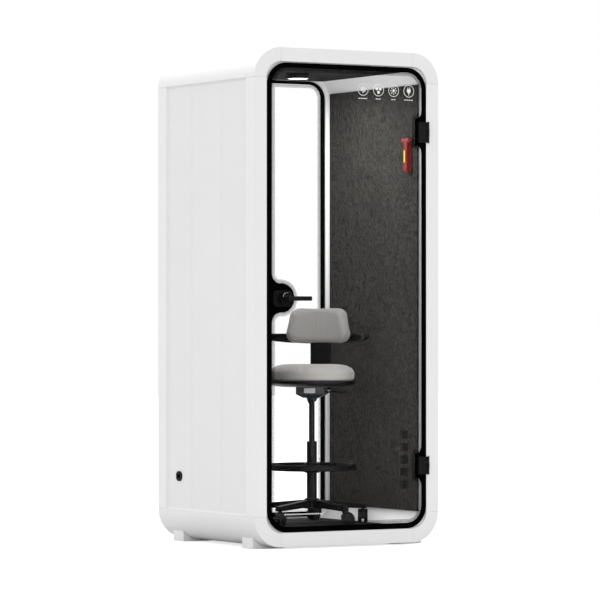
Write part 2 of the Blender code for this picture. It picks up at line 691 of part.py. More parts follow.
def fan(parent):
    """A flat fan in the roof's hollow, over the ceiling slots."""
    low = OPEN_TOP - CEILING_DROP + CEILING_THICK + 0.001
    high = low + FAN_TALL
    half = FAN_SIZE / 2
    frame = plate("fan_frame", [rectangle((-half, -half), (half, half)),
                                arc((0, 0), FAN_BORE_R, 0, 345, 23)],
                  FAN_TALL, "black_plastic", parent, (0, FAN_Y, (low + high) / 2))
    strut, sunk = 0.006, 0.002
    for low_x, low_y in ((sunk - half, -strut / 2), (-strut / 2, sunk - half)):
        join(frame, box_mesh((low_x, low_y, FAN_TALL / 2 - 0.004),
                             (-low_x, -low_y, FAN_TALL / 2 - 0.001)))
    axle = empty("fan_axis", (0, FAN_Y, low), parent)
    rotor = rod("fan_rotor", FAN_HUB_R, (0, 0, 0.002), (0, 0, FAN_TALL - 0.005),
                "black_plastic", axle, 20)
    for i in range(FAN_BLADES):
        blade = box_mesh((FAN_HUB_R - 0.004, -0.014, -0.0008), (FAN_BORE_R - 0.002, 0.014, 0.0008))
        tilt = Matrix.Rotation(math.radians(28), 4, "X")
        spin = Matrix.Rotation(math.tau * i / FAN_BLADES, 4, "Z")
        lift = Matrix.Translation((0, 0, FAN_TALL / 2 - 0.002))
        bmesh.ops.transform(blade, matrix=lift @ spin @ tilt, verts=blade.verts)
        join(rotor, blade)


def power_inlet(parent):
    """A chamfered flange on the left panel, with a socket sunk in it."""
    surface = -HALF + PANEL_RECESS - FIT
    half_y, half_z, chamfer = POWER_SIZE[0] / 2, POWER_SIZE[1] / 2, 0.013
    loop = [(half_y - chamfer, -half_z), (half_y, chamfer - half_z), (half_y, half_z - chamfer),
            (half_y - chamfer, half_z), (chamfer - half_y, half_z), (-half_y, half_z - chamfer),
            (-half_y, chamfer - half_z), (chamfer - half_y, -half_z)]
    flange = plate("power_inlet", [[(POWER_Y + y, POWER_Z + z) for y, z in loop]], 0.004,
                   "black_plastic", parent, (surface - 0.002, 0, 0), SIDEWAYS)
    flange_box = Matrix(((0, 1, 0, 0), (0, 0, 1, 0), (1, 0, 0, 0), (0, 0, 0, 1)))
    body = power_shape(-0.002, 0.030)
    bmesh.ops.transform(body, matrix=flange_box, verts=body.verts)
    join(flange, body)
    socket = box_mesh((-0.01, POWER_Y - 0.012, POWER_Z - 0.008),
                      (0.018, POWER_Y + 0.012, POWER_Z + 0.008))
    bmesh.ops.transform(socket, matrix=flange_box, verts=socket.verts)
    cut(flange, socket)


def hammer(parent):
    """The emergency hammer and the wall bracket that it lifts off."""
    wall = FELT_FACE - FIT
    grip_y, grip_x = HAMMER_GRIP
    head_y, head_r = HAMMER_HEAD
    low = HAMMER_TOP - HAMMER_LENGTH
    axis_z = HAMMER_TOP - head_r
    bracket = box("hammer_bracket", (wall - HAMMER_PLATE, HAMMER_Y - 0.016, low - 0.006),
                  (wall, HAMMER_Y + 0.016, HAMMER_TOP - 0.004), "hammer_red", parent)
    join(bracket, box_mesh((wall - HAMMER_PLATE - 0.016, HAMMER_Y - 0.016, low - 0.006),
                           (wall - HAMMER_PLATE + 0.001, HAMMER_Y + 0.016, low - 0.001)))
    outer = wall - HAMMER_PLATE - RUN
    centre = (outer - head_r, HAMMER_Y, 0)
    place = empty("hammer_axis", centre, parent)
    piece = box("hammer", (head_r - grip_x, -grip_y / 2, low),
                (head_r, grip_y / 2, axis_z), "hammer_red", place)
    join(piece, rod_mesh(head_r, (0, -head_y / 2 + 0.010, axis_z),
                         (0, head_y / 2 - 0.010, axis_z), 16))
    for way in (-1, 1):
        join(piece, rod_mesh(head_r * 0.8, (0, way * (head_y / 2 - 0.011), axis_z),
                             (0, way * head_y / 2, axis_z), 16, 0.002))


# ---- stool ----------------------------------------------------------------------------
def stool(parent):
    floor = empty("stool_floor", (STOOL_X, STOOL_Y, DECK_TOP), parent)
    star_base(floor)
    for i in range(LEGS):
        caster(floor, i)
    column(floor)
    foot_ring(floor)
    seat_axis = empty("seat_axis", (0, 0, 0), floor, SEAT_TURN)
    gas_rod(floor)
    seat(seat_axis)
    back(seat_axis)


def leg_direction(index):
    angle = BASE_TURN + math.tau * index / LEGS
    return Vector((math.cos(angle), math.sin(angle), 0))


def star_base(parent):
    """Hub with five tapered legs, bored for the column and for each caster's stem."""
    base = rod("star_base", HUB_R, (0, 0, TIP_LOW + 0.004), (0, 0, HUB_TOP), "black_plastic",
               parent, 24, HUB_R * 0.85)
    for i in range(LEGS):
        leg = box_mesh((0, -1, -1), (1, 1, 1))
        tip = [v for v in leg.verts if v.co.x > 0.5]
        root = [v for v in leg.verts if v.co.x < 0.5]
        for v in tip:
            v.co = (CASTER_RING + 0.014, v.co.y * 0.016, TIP_LOW + 0.0115 + v.co.z * 0.0115)
        for v in root:
            v.co = (HUB_R * 0.78, v.co.y * 0.0175, TIP_LOW + 0.029 + v.co.z * 0.017)
        turn = Matrix.Rotation(BASE_TURN + math.tau * i / LEGS, 4, "Z")
        bmesh.ops.transform(leg, matrix=turn, verts=leg.verts)
        join(base, leg)
    cut(base, rod_mesh(COLUMN_R + FIT, (0, 0, 0), (0, 0, 0.3), 24))
    for i in range(LEGS):
        spot = leg_direction(i) * CASTER_RING
        cut(base, rod_mesh(STEM_R + RUN, spot + Vector((0, 0, 0)),
                           spot + Vector((0, 0, TIP_LOW + 0.016)), 12))


def caster(parent, index):
    """Fork with hood and stem, and a twin wheel on one axle."""
    number = index + 1
    spot = leg_direction(index) * CASTER_RING
    pivot = empty("caster_axis_%d" % number, spot, parent,
                  math.radians(CASTER_TURNS[index]))
    axle_z = WHEEL_R + FIT
    web = WHEEL_GAP / 2 - RUN
    centre = (CASTER_TRAIL, axle_z)
    outline = arc(centre, HOOD_R, -20, 160, 12)
    outline += [(CASTER_TRAIL - 0.012, axle_z - 0.012), (CASTER_TRAIL + 0.012, axle_z - 0.012)]
    fork = plate("caster_fork_%d" % number, [outline], 2 * web, "black_plastic", pivot,
                 (0, 0, 0), UPRIGHT)
    shade = arc(centre, HOOD_R, 5, 130, 8) + arc(centre, WHEEL_R + 0.0015, 130, 5, 8)
    hood = plate("hood", [shade], 2 * WHEEL_WIDTH + WHEEL_GAP, None, pivot, (0, 0, 0), UPRIGHT)
    combine(fork, hood, "UNION")
    neck = axle_z + math.sqrt((WHEEL_R + 0.003) ** 2 - CASTER_TRAIL ** 2)
    join(fork, rod_mesh(STEM_R, (0, neck, 0), (0, TIP_LOW + 0.014, 0), 12))
    join(fork, rod_mesh(STEM_R + 0.004, (0, neck, 0), (0, TIP_LOW - RUN, 0), 12))
    cut(fork, rod_mesh(0.0045, (*centre, -0.02), (*centre, 0.02), 12))
    roll = empty("wheel_axis_%d" % number, (CASTER_TRAIL, 0, axle_z), pivot)
    inner, outer = WHEEL_GAP / 2, WHEEL_GAP / 2 + WHEEL_WIDTH
    wheel = rod("caster_wheel_%d" % number, 0.004, (0, -inner - 0.002, 0), (0, inner + 0.002, 0),
                "black_rubber", roll, 12)
    for way in (-1, 1):
        disc = rod_mesh(WHEEL_R, (0, way * inner, 0), (0, way * outer, 0), 24)
        rim = [e for e in disc.edges if all(abs(abs(v.co.y) - outer) < 1e-5 for v in e.verts)]
        bmesh.ops.bevel(disc, geom=rim, offset=0.003, segments=1, affect="EDGES")
        join(wheel, disc)


def column(parent):
    """Outer tube of the gas lift, closed at its foot."""
    bore = ROD_R + RUN
    turned("column_tube", [(bore, COLUMN_TOP), (COLUMN_R, COLUMN_TOP), (COLUMN_R, COLUMN_FOOT),
                           (0.006, COLUMN_FOOT), (0.006, HUB_TOP), (bore, HUB_TOP)],
           "black_metal", parent, 24)


def gas_rod(parent):
    top = MECHANISM_LOW + MECHANISM_TALL * 0.6
    rod("gas_rod", ROD_R, (0, 0, COLUMN_TOP - ROD_ENGAGED), (0, 0, top), "black_metal", parent, 20)


def foot_ring(parent):
    """Foot ring, its collar on the column and four flat spokes."""
    low, high = RING_Z - RING_TALL / 2, RING_Z + RING_TALL / 2
    inner = RING_R - RING_BAR
    soft = 0.006
    ring = turned("foot_ring", [(inner + soft, high), (RING_R - soft, high), (RING_R, high - soft),
                                (RING_R, low + soft), (RING_R - soft, low), (inner + soft, low),
                                (inner, low + soft), (inner, high - soft)],
                  "black_plastic", parent, 36)
    collar = COLUMN_R + 0.012
    for turn in (0.0, math.pi / 2):
        spoke = box_mesh((-RING_R + RING_BAR / 2, -0.014, low + 0.006),
                         (RING_R - RING_BAR / 2, 0.014, low + 0.016))
        bmesh.ops.transform(spoke, matrix=Matrix.Rotation(turn + SEAT_TURN, 4, "Z"),
                            verts=spoke.verts)
        join(ring, spoke)
    join(ring, rod_mesh(collar, (0, 0, low - 0.012), (0, 0, high + 0.004), 24))
    cut(ring, rod_mesh(COLUMN_R + RUN, (0, 0, 0), (0, 0, 0.5), 24))


def seat(parent):
    """Mechanism housing, lift lever, seat pan and cushion."""
    half_x, half_y = MECHANISM_SIZE[0] / 2, MECHANISM_SIZE[1] / 2
    top = MECHANISM_LOW + MECHANISM_TALL
    shoulder = MECHANISM_LOW + MECHANISM_TALL * 0.5
    waist = MECHANISM_LOW + MECHANISM_TALL * 0.25
    housing = box_mesh((-half_x, -half_y, waist), (half_x, half_y, top))
    bmesh.ops.bisect_plane(housing, geom=housing.verts[:] + housing.edges[:] + housing.faces[:],
                           plane_co=(0, 0, shoulder), plane_no=(0, 0, 1))
    for v in housing.verts:
        if v.co.z < waist + 0.001:
            v.co.x *= 0.55
            v.co.y *= 0.70
    body = add_mesh("seat_mechanism", housing, "black_metal", parent)
    join(body, rod_mesh(ROD_R + 0.008, (0, 0, MECHANISM_LOW), (0, 0, waist + 0.01), 20,
                        ROD_R + 0.016))
    cut(body, rod_mesh(ROD_R + RUN, (0, 0, MECHANISM_LOW - 0.02),
                       (0, 0, MECHANISM_LOW + MECHANISM_TALL * 0.6 + RUN), 20))
    lever_z = MECHANISM_LOW + MECHANISM_TALL * 0.65
    pivot = empty("lift_axis", (half_x + RUN, 0.0, lever_z), parent)
    stalk = rod("lift_lever", 0.0045, (0, 0, 0), (LIFT_LEVER * 0.5, 0, 0), "black_plastic",
                pivot, 12)
    join(stalk, box_mesh((LIFT_LEVER * 0.45, -0.014, -0.0075), (LIFT_LEVER, 0.014, 0.0075)))

    turned("seat_pan", [(0, PAN_LOW + PAN_TALL), (PAN_R, PAN_LOW + PAN_TALL),
                        (PAN_R, PAN_LOW + PAN_TALL * 0.6), (PAN_R * 0.9, PAN_LOW + PAN_TALL * 0.2),
                        (PAN_R * 0.7, PAN_LOW), (0, PAN_LOW)],
           "black_plastic", parent, 36)
    low, high = CUSHION_LOW, CUSHION_LOW + CUSHION_TALL
    edge = CUSHION_TALL * 0.45
    crown = [(CUSHION_R - edge + edge * math.sin(a), high - edge * 0.85 + edge * 0.75 * math.cos(a))
             for a in (math.pi / 2 * i / 5 for i in range(1, 6))]
    turned("seat_cushion", [(0, high), (CUSHION_R - edge, high - edge * 0.08)] + crown
           + [(CUSHION_R, low + 0.010), (CUSHION_R - 0.008, low), (0, low)],
           "seat_fabric", parent, 36)


def back(parent):
    """Upright plate, back cushion and the arm rest that wraps round it."""
    half, thick = BACK_PLATE[0] / 2, BACK_PLATE[1]
    bar_low, bar_high = PAN_LOW - 0.020, PAN_LOW - 0.006
    plate_piece = box("back_plate", (-half, BACK_PLATE_Y, bar_low),
                      (half, BACK_PLATE_Y + thick, BACK_PLATE_TOP), "black_plastic", parent)
    join(plate_piece, box_mesh((-half, MECHANISM_SIZE[1] / 2 + FIT, bar_low),
                               (half, BACK_PLATE_Y + thick, bar_high)))

    back_cushion(parent)
    arm_rest(parent)


def back_cushion(parent):
    """A cushion that curves round the sitter, narrower at its top, with round corners."""
    radius = BACK_ROUND
    outer = BACK_PLATE_Y - FIT
    rows = [(BACK_WIDE / 2 - radius + x, BACK_LOW + radius + z)
            for x, z in arc((0, 0), radius, 270, 360, SMALL_STEPS)]
    rows += [(BACK_NARROW / 2 - radius + x, BACK_LOW + BACK_TALL - radius + z)
             for x, z in arc((0, 0), radius, 0, 90, SMALL_STEPS)]
    steps = 12
    bm = bmesh.new()
    sections = []
    for half, z in rows:
        sweep = math.asin(half / outer)
        angles = [math.pi / 2 + sweep * (2 * i / steps - 1) for i in range(steps + 1)]
        near = [bm.verts.new(((outer - BACK_THICK) * math.cos(a),
                              (outer - BACK_THICK) * math.sin(a), z)) for a in angles]
        far = [bm.verts.new((outer * math.cos(a), outer * math.sin(a), z)) for a in angles]
        sections.append(near + far[::-1])
    count = 2 * (steps + 1)
    for first, second in zip(sections, sections[1:]):
        for i in range(count):
            j = (i + 1) % count
            bm.faces.new((first[i], first[j], second[j], second[i]))
    for section in (sections[0], sections[-1]):
        for i in range(steps):
            bm.faces.new((section[i], section[i + 1], section[count - 2 - i],
                          section[count - 1 - i]))
    add_mesh("back_cushion", bm, "seat_fabric", parent, smooth=True)


def arm_rest(parent):
    """A crescent that wraps round the back, tall in the middle and slim at its tips."""
    inner = BACK_PLATE_Y + BACK_PLATE[1] + 2 * FIT
    steps = 20
    bm = bmesh.new()
    rings = []
    for i in range(steps + 1):
        share = 2 * i / steps - 1
        angle = math.pi / 2 + share * ARM_SWEEP
        taper = 1 - share * share
        tall = ARM_TIP_TALL + (ARM_TALL - ARM_TIP_TALL) * taper
        near = inner / math.sin(angle) if abs(share) < ARM_FLAT else inner
        section = ((near, ARM_TOP - tall), (inner + ARM_THICK, ARM_TOP - tall),
                   (inner + ARM_THICK, ARM_TOP), (near, ARM_TOP))
        rings.append([bm.verts.new((r * math.cos(angle), r * math.sin(angle), z))
                      for r, z in section])
    for first, second in zip(rings, rings[1:]):
        for i in range(4):
            j = (i + 1) % 4
            bm.faces.new((first[i], first[j], second[j], second[i]))
    bm.faces.new(rings[0])
    bm.faces.new(rings[-1])
    add_mesh("arm_rest", bm, "black_plastic", parent, smooth=True)


# ---- the carrel -----------------------------------------------------------------------
def build():
    datum = empty("carrel_datum", (0, -(DEPTH - LEVER_REACH) / 2, FOOT_DROP))
    corner_mouldings(datum)
    posts(datum)
    roof_and_base(datum)
    side_panels(datum)
    linings(datum)
    floor_and_ceiling(datum)
    feet(datum)
    glazing(datum)
    door_axis = empty("door_axis", (PIN_X, -PIN_OUT, 0), datum)
    door(datum, door_axis)
    ceiling_light(datum)
    fan(datum)
    power_inlet(datum)
    hammer(datum)
    stool(datum)


clear_scene()
PIECES = new_collection("study_carrel")
CUTTERS = new_collection("cutters")
build()
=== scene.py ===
"""Looks of the study carrel: finishes, glazing print, upholstery and fine edges."""
import json
import math

import bmesh
import bpy
import numpy as np
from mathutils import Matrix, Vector


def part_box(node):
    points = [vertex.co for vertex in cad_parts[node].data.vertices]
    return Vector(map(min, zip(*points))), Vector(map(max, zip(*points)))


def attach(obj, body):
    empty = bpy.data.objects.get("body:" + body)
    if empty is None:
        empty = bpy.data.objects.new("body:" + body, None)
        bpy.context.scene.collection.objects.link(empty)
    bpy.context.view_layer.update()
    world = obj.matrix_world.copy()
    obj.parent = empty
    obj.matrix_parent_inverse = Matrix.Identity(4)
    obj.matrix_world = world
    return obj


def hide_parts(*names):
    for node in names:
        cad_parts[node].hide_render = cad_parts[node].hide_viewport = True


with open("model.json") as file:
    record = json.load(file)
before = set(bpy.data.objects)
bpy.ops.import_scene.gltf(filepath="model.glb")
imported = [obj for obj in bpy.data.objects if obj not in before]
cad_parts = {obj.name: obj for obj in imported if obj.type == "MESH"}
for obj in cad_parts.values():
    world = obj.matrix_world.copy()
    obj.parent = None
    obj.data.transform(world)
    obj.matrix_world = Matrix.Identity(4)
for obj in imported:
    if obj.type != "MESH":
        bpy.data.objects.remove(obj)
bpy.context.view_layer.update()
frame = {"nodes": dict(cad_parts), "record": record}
bpy.ops.object.select_all(action="DESELECT")

RECORD = frame["record"]
NODE_SLOT = {part["node"]: part["material_slot"] for part in RECORD["subparts"]}
NODE_BODY = {node: body for body, nodes in RECORD["behaviour"]["bodies"].items() for node in nodes}
SHELL_LOW, SHELL_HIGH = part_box("roof")
FRONT = SHELL_LOW[1]                          # front face of the shell
REAR = SHELL_HIGH[1]
TOP = SHELL_HIGH[2]
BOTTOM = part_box("base")[0][2]
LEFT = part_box("front_post_left")[0][0]
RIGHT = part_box("front_post_right")[1][0]
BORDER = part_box("front_post_left")[1][0] - LEFT
OPENING = (LEFT + BORDER, RIGHT - BORDER, BOTTOM + BORDER, TOP - BORDER)
MERGE = 0.00002                               # points nearer than this become one


# ---- shared surface effects -----------------------------------------------------------
def new_group(name, inputs, outputs):
    """A shader node group with float, colour or vector sockets."""
    group = bpy.data.node_groups.new(name, "ShaderNodeTree")
    for label, kind, value in inputs:
        socket = group.interface.new_socket(label, in_out="INPUT", socket_type="NodeSocket" + kind)
        if value is not None:
            socket.default_value = value
    for label, kind in outputs:
        group.interface.new_socket(label, in_out="OUTPUT", socket_type="NodeSocket" + kind)
    start = group.nodes.new("NodeGroupInput")
    end = group.nodes.new("NodeGroupOutput")
    return group, start, end


def noise(tree, vector, scale, detail, roughness=0.6):
    node = tree.nodes.new("ShaderNodeTexNoise")
    node.inputs["Detail"].default_value = detail
    node.inputs["Roughness"].default_value = roughness
    tree.links.new(vector, node.inputs["Vector"])
    if isinstance(scale, (int, float)):
        node.inputs["Scale"].default_value = scale
    else:
        tree.links.new(scale, node.inputs["Scale"])
    return node.outputs["Fac"]


def math_node(tree, operation, first, second=None, clamp=False):
    node = tree.nodes.new("ShaderNodeMath")
    node.operation = operation
    node.use_clamp = clamp
    for value, socket in ((first, node.inputs[0]), (second, node.inputs[1])):
        if value is None:
            continue
        if isinstance(value, (int, float)):
            socket.default_value = value
        else:
            tree.links.new(value, socket)
    return node.outputs[0]


def mix_colour(tree, factor, first, second):
    node = tree.nodes.new("ShaderNodeMix")
    node.data_type = "RGBA"
    for value, socket in ((factor, node.inputs[0]), (first, node.inputs[6]),
                          (second, node.inputs[7])):
        if isinstance(value, (int, float, tuple)):
            socket.default_value = value
        else:
            tree.links.new(value, socket)
    return node.outputs[2]


def spread(tree, value, low, high):
    """Stretch a value between low and high to 0..1."""
    node = tree.nodes.new("ShaderNodeMapRange")
    node.inputs["From Min"].default_value = low
    node.inputs["From Max"].default_value = high
    tree.links.new(value, node.inputs["Value"])
    return node.outputs["Result"]


def lacquer_group():
    """Sprayed or moulded surface: faint cloudiness, fine orange peel, and a painted highlight that
    lightens sharp edges.
    """
    group, start, end = new_group(
        "lacquer",
        [("Vector", "Vector", None), ("Colour", "Color", (0.8, 0.8, 0.8, 1)),
         ("Cloud And Highlight Colour", "Color", (0.9, 0.9, 0.9, 1)), ("Grain Scale", "Float", 900.0),
         ("Roughness", "Float", 0.4)],
        [("Colour", "Color"), ("Roughness", "Float"), ("Height", "Float")])
    vector = start.outputs["Vector"]
    cloud = spread(group, noise(group, vector, 3.0, 3.0), 0.3, 0.7)
    fine = noise(group, vector, start.outputs["Grain Scale"], 2.0)
    geometry = group.nodes.new("ShaderNodeNewGeometry")
    # painted highlight: sharp convex edges, found by Pointiness, are mixed towards the lighter
    # second colour
    edge = spread(group, geometry.outputs["Pointiness"], 0.52, 0.60)
    shade = mix_colour(group, math_node(group, "MULTIPLY", cloud, 0.25), start.outputs["Colour"],
                       start.outputs["Cloud And Highlight Colour"])
    edge_highlighted = mix_colour(group, math_node(group, "MULTIPLY", edge, 0.5), shade,
                      start.outputs["Cloud And Highlight Colour"])
    rough = math_node(group, "ADD", start.outputs["Roughness"],
                      math_node(group, "MULTIPLY", math_node(group, "SUBTRACT", cloud, 0.5), 0.10))
    group.links.new(edge_highlighted, end.inputs["Colour"])
    group.links.new(rough, end.inputs["Roughness"])
    group.links.new(fine, end.inputs["Height"])
    return group


def felt_group():
    """Pressed felt: light and dark fibres in soft clumps."""
    group, start, end = new_group(
        "felt_melange",
        [("Vector", "Vector", None), ("Dark", "Color", (0.02, 0.02, 0.02, 1)),
         ("Light", "Color", (0.15, 0.15, 0.14, 1)), ("Fibre Scale", "Float", 420.0),
         ("Clump Scale", "Float", 110.0)],
        [("Colour", "Color"), ("Height", "Float")])
    vector = start.outputs["Vector"]
    clump = spread(group, noise(group, vector, start.outputs["Clump Scale"], 3.0), 0.36, 0.64)
    fibre_scale = start.outputs["Fibre Scale"]
    fibre = spread(group, noise(group, vector, fibre_scale, 3.0, 0.8), 0.38, 0.70)
    stretch = group.nodes.new("ShaderNodeMapping")
    stretch.inputs["Scale"].default_value = (1.0, 1.0, 0.25)
    group.links.new(vector, stretch.inputs["Vector"])
    strand = spread(group, noise(group, stretch.outputs["Vector"], 190.0, 2.0), 0.38, 0.66)
    amount = math_node(group, "ADD", math_node(group, "MULTIPLY", fibre, 0.25),
                       math_node(group, "MULTIPLY", strand, 0.38))
    amount = math_node(group, "ADD", amount, math_node(group, "MULTIPLY", clump, 0.37))
    amount = spread(group, amount, 0.15, 0.88)
    colour = mix_colour(group, amount, start.outputs["Dark"], start.outputs["Light"])
    group.links.new(colour, end.inputs["Colour"])
    group.links.new(amount, end.inputs["Height"])
    return group


def weave_group():
    """Plain woven cloth: threads crossing on whichever faces look along X, Y or Z."""
    group, start, end = new_group(
        "plain_weave",
        [("Vector", "Vector", None), ("Warp", "Color", (0.4, 0.4, 0.38, 1)),
         ("Weft", "Color", (0.3, 0.3, 0.28, 1)), ("Thread Pitch", "Float", 0.0016)],
        [("Colour", "Color"), ("Height", "Float")])
    split = group.nodes.new("ShaderNodeSeparateXYZ")
    group.links.new(start.outputs["Vector"], split.inputs[0])
    frequency = math_node(group, "DIVIDE", math.pi, start.outputs["Thread Pitch"])
    waves = [math_node(group, "SINE", math_node(group, "MULTIPLY", split.outputs[i], frequency))
             for i in range(3)]
    height = None
    for i, j in ((0, 1), (1, 2), (0, 2)):
        product = math_node(group, "MULTIPLY", waves[i], waves[j])
        height = product if height is None else math_node(group, "ADD", height, product)
    slub = spread(group, noise(group, start.outputs["Vector"], 260.0, 3.0), 0.35, 0.65)
    level = math_node(group, "ADD", math_node(group, "MULTIPLY", height, 0.3),
                      math_node(group, "MULTIPLY", slub, 0.6), True)
    colour = mix_colour(group, level, start.outputs["Weft"], start.outputs["Warp"])
    group.links.new(colour, end.inputs["Colour"])
    group.links.new(level, end.inputs["Height"])
    return group


GROUPS = {"lacquer": lacquer_group(), "felt_melange": felt_group(), "plain_weave": weave_group()}


def begin_material(name):
    material = bpy.data.materials.new(name)
    material.use_nodes = True
    tree = material.node_tree
    shader = tree.nodes["Principled BSDF"]
    coordinates = tree.nodes.new("ShaderNodeTexCoord").outputs["Object"]
    return material, tree, shader, coordinates


def add_effect(tree, shader, coordinates, name, values, bump, distance):
    """Place a shared effect in a material with its own values, and wire it to the shader."""
    node = tree.nodes.new("ShaderNodeGroup")
    node.node_tree = GROUPS[name]
    tree.links.new(coordinates, node.inputs["Vector"])
    for label, value in values.items():
        node.inputs[label].default_value = value
    tree.links.new(node.outputs["Colour"], shader.inputs["Base Color"])
    if "Roughness" in node.outputs:
        tree.links.new(node.outputs["Roughness"], shader.inputs["Roughness"])
    relief = tree.nodes.new("ShaderNodeBump")
    relief.inputs["Strength"].default_value = bump
    relief.inputs["Distance"].default_value = distance
    tree.links.new(node.outputs["Height"], relief.inputs["Height"])
    tree.links.new(relief.outputs["Normal"], shader.inputs["Normal"])


# The colour after the main one tints the cloudiness and paints a highlight on sharp edges.
def lacquered(name, colour, edge, roughness, grain=900.0, bump=0.05, metallic=0.0, coat=0.0,
              gloss=0.5):
    material, tree, shader, coordinates = begin_material(name)
    shader.inputs["Metallic"].default_value = metallic
    shader.inputs["Coat Weight"].default_value = coat
    shader.inputs["Specular IOR Level"].default_value = gloss
    add_effect(tree, shader, coordinates, "lacquer",
               {"Colour": (*colour, 1), "Cloud And Highlight Colour": (*edge, 1), "Grain Scale": grain,
                "Roughness": roughness}, bump, 0.0004)
    return material


def felted(name, dark, light, fibre=420.0, clump=110.0):
    material, tree, shader, coordinates = begin_material(name)
    shader.inputs["Roughness"].default_value = 0.95
    shader.inputs["Specular IOR Level"].default_value = 0.1
    add_effect(tree, shader, coordinates, "felt_melange",
               {"Dark": (*dark, 1), "Light": (*light, 1), "Fibre Scale": fibre,
                "Clump Scale": clump}, 0.5, 0.0008)
    return material


def woven(name, warp, weft, pitch):
    material, tree, shader, coordinates = begin_material(name)
    shader.inputs["Roughness"].default_value = 0.9
    shader.inputs["Specular IOR Level"].default_value = 0.2
    shader.inputs["Sheen Weight"].default_value = 0.25
    add_effect(tree, shader, coordinates, "plain_weave",
               {"Warp": (*warp, 1), "Weft": (*weft, 1), "Thread Pitch": pitch}, 0.35, 0.0006)
    return material


def clear_glass():
    """Glass that lets light and shadow through unchanged, with a gloss of its own."""
    material = bpy.data.materials.new("clear_glass")
    material.use_nodes = True
    tree = material.node_tree
    shader = tree.nodes["Principled BSDF"]
    shader.inputs["Base Color"].default_value = (1, 1, 1, 1)
    shader.inputs["Roughness"].default_value = 0.0
    shader.inputs["IOR"].default_value = 1.08
    shader.inputs["Transmission Weight"].default_value = 1.0
    output = tree.nodes["Material Output"]
    path = tree.nodes.new("ShaderNodeLightPath")
    passing = math_node(tree, "MAXIMUM", path.outputs["Is Shadow Ray"],
                        path.outputs["Is Diffuse Ray"])
    through = tree.nodes.new("ShaderNodeBsdfTransparent")
    mix = tree.nodes.new("ShaderNodeMixShader")
    tree.links.new(passing, mix.inputs[0])
    tree.links.new(shader.outputs[0], mix.inputs[1])
    tree.links.new(through.outputs[0], mix.inputs[2])
    tree.links.new(mix.outputs[0], output.inputs["Surface"])
    return material


def glowing(name, colour, strength):
    material, tree, shader, coordinates = begin_material(name)
    shader.inputs["Emission Strength"].default_value = strength
    cloud = noise(tree, coordinates, 60.0, 2.0)
    tint = mix_colour(tree, math_node(tree, "MULTIPLY", cloud, 0.05), (*colour, 1), (1, 1, 1, 1))
    tree.links.new(tint, shader.inputs["Base Color"])
    tree.links.new(tint, shader.inputs["Emission Color"])
    return material


# the second colour of each lacquered finish tints its faint cloudiness and is the painted highlight
# on its sharp edges
BLACK, DARK_CLOUD_AND_HIGHLIGHT = (0.002, 0.002, 0.002), (0.008, 0.008, 0.008)
FINISH = {
    "moulded_white": lacquered("moulded_white", (0.80, 0.80, 0.80), (0.9, 0.9, 0.9), 0.42),
    "lacquered_board": lacquered("lacquered_board", (0.79, 0.79, 0.79), (0.88, 0.88, 0.88), 0.45),
    "wall_felt": felted("wall_felt", (0.006, 0.0057, 0.0053), (0.062, 0.059, 0.054)),
    "ceiling_felt": felted("ceiling_felt", (0.006, 0.006, 0.006), (0.028, 0.028, 0.027), 300.0,
                           20.0),
    "carpet": felted("carpet", (0.015, 0.015, 0.015), (0.09, 0.09, 0.09), 500.0, 60.0),
    "glazing": clear_glass(),
    "seal_rubber": lacquered("seal_rubber", (0.72, 0.72, 0.72), (0.8, 0.8, 0.8), 0.6, 1500.0,
                             gloss=0.2),
    "black_metal": lacquered("black_metal", (0.006, 0.006, 0.0065), DARK_CLOUD_AND_HIGHLIGHT, 0.38, 1400.0, 0.08,
                             gloss=0.10),
    "mechanism_alloy": lacquered("mechanism_alloy", (0.018, 0.021, 0.022), (0.06, 0.065, 0.065),
                                 0.34, 700.0, 0.1, 0.4),
    "bright_steel": lacquered("bright_steel", (0.6, 0.6, 0.6), (0.8, 0.8, 0.8), 0.25, 600.0,
                              0.05, 1.0),
    "black_plastic": lacquered("black_plastic", BLACK, DARK_CLOUD_AND_HIGHLIGHT, 0.42, 1800.0, 0.15, gloss=0.08),
    "wheel_rubber": lacquered("wheel_rubber", (0.008, 0.008, 0.008), DARK_CLOUD_AND_HIGHLIGHT, 0.5, 900.0, 0.1,
                              gloss=0.15),
    "lamp_diffuser": glowing("lamp_diffuser", (1.0, 0.99, 0.96), 4.0),
    "hammer_red": lacquered("hammer_red", (0.15, 0.008, 0.007), (0.22, 0.02, 0.018), 0.38, 900.0,
                            0.08, gloss=0.25),
    "seat_fabric": woven("seat_fabric", (0.27, 0.262, 0.252), (0.19, 0.185, 0.178), 0.0016),
}
PRINT_BLACK = lacquered("print_black", (0.0015, 0.0015, 0.0015), (0.0015, 0.0015, 0.0015), 0.5,
                        gloss=0.0)
PRINT_WHITE = lacquered("print_white", (0.85, 0.85, 0.85), (0.9, 0.9, 0.9), 0.5)
LABEL_YELLOW = lacquered("label_yellow", (0.46, 0.33, 0.02), (0.5, 0.36, 0.03), 0.4)
GRILLE_DARK = lacquered("intake_grille", (0.010, 0.010, 0.010), (0.02, 0.02, 0.02), 0.7, gloss=0.1)
# light alloy colour of the mechanism nose: a painted highlight on the mechanism's front face
NOSE_HIGHLIGHT_ALLOY = lacquered("nose_alloy_painted_highlight", (0.34, 0.38, 0.38), (0.5, 0.52, 0.52), 0.32, 500.0, 0.1, 0.2)


# ---- camera, light and floor ----------------------------------------------------------
CAMERA_PLACE = (LEFT - 7.9365, FRONT - 13.8525, BOTTOM + 1.0229)
CAMERA_TURN = -30.56                          # degrees, towards the carrel's right side
LENS = 209.6
LENS_SHIFT = 0.0411


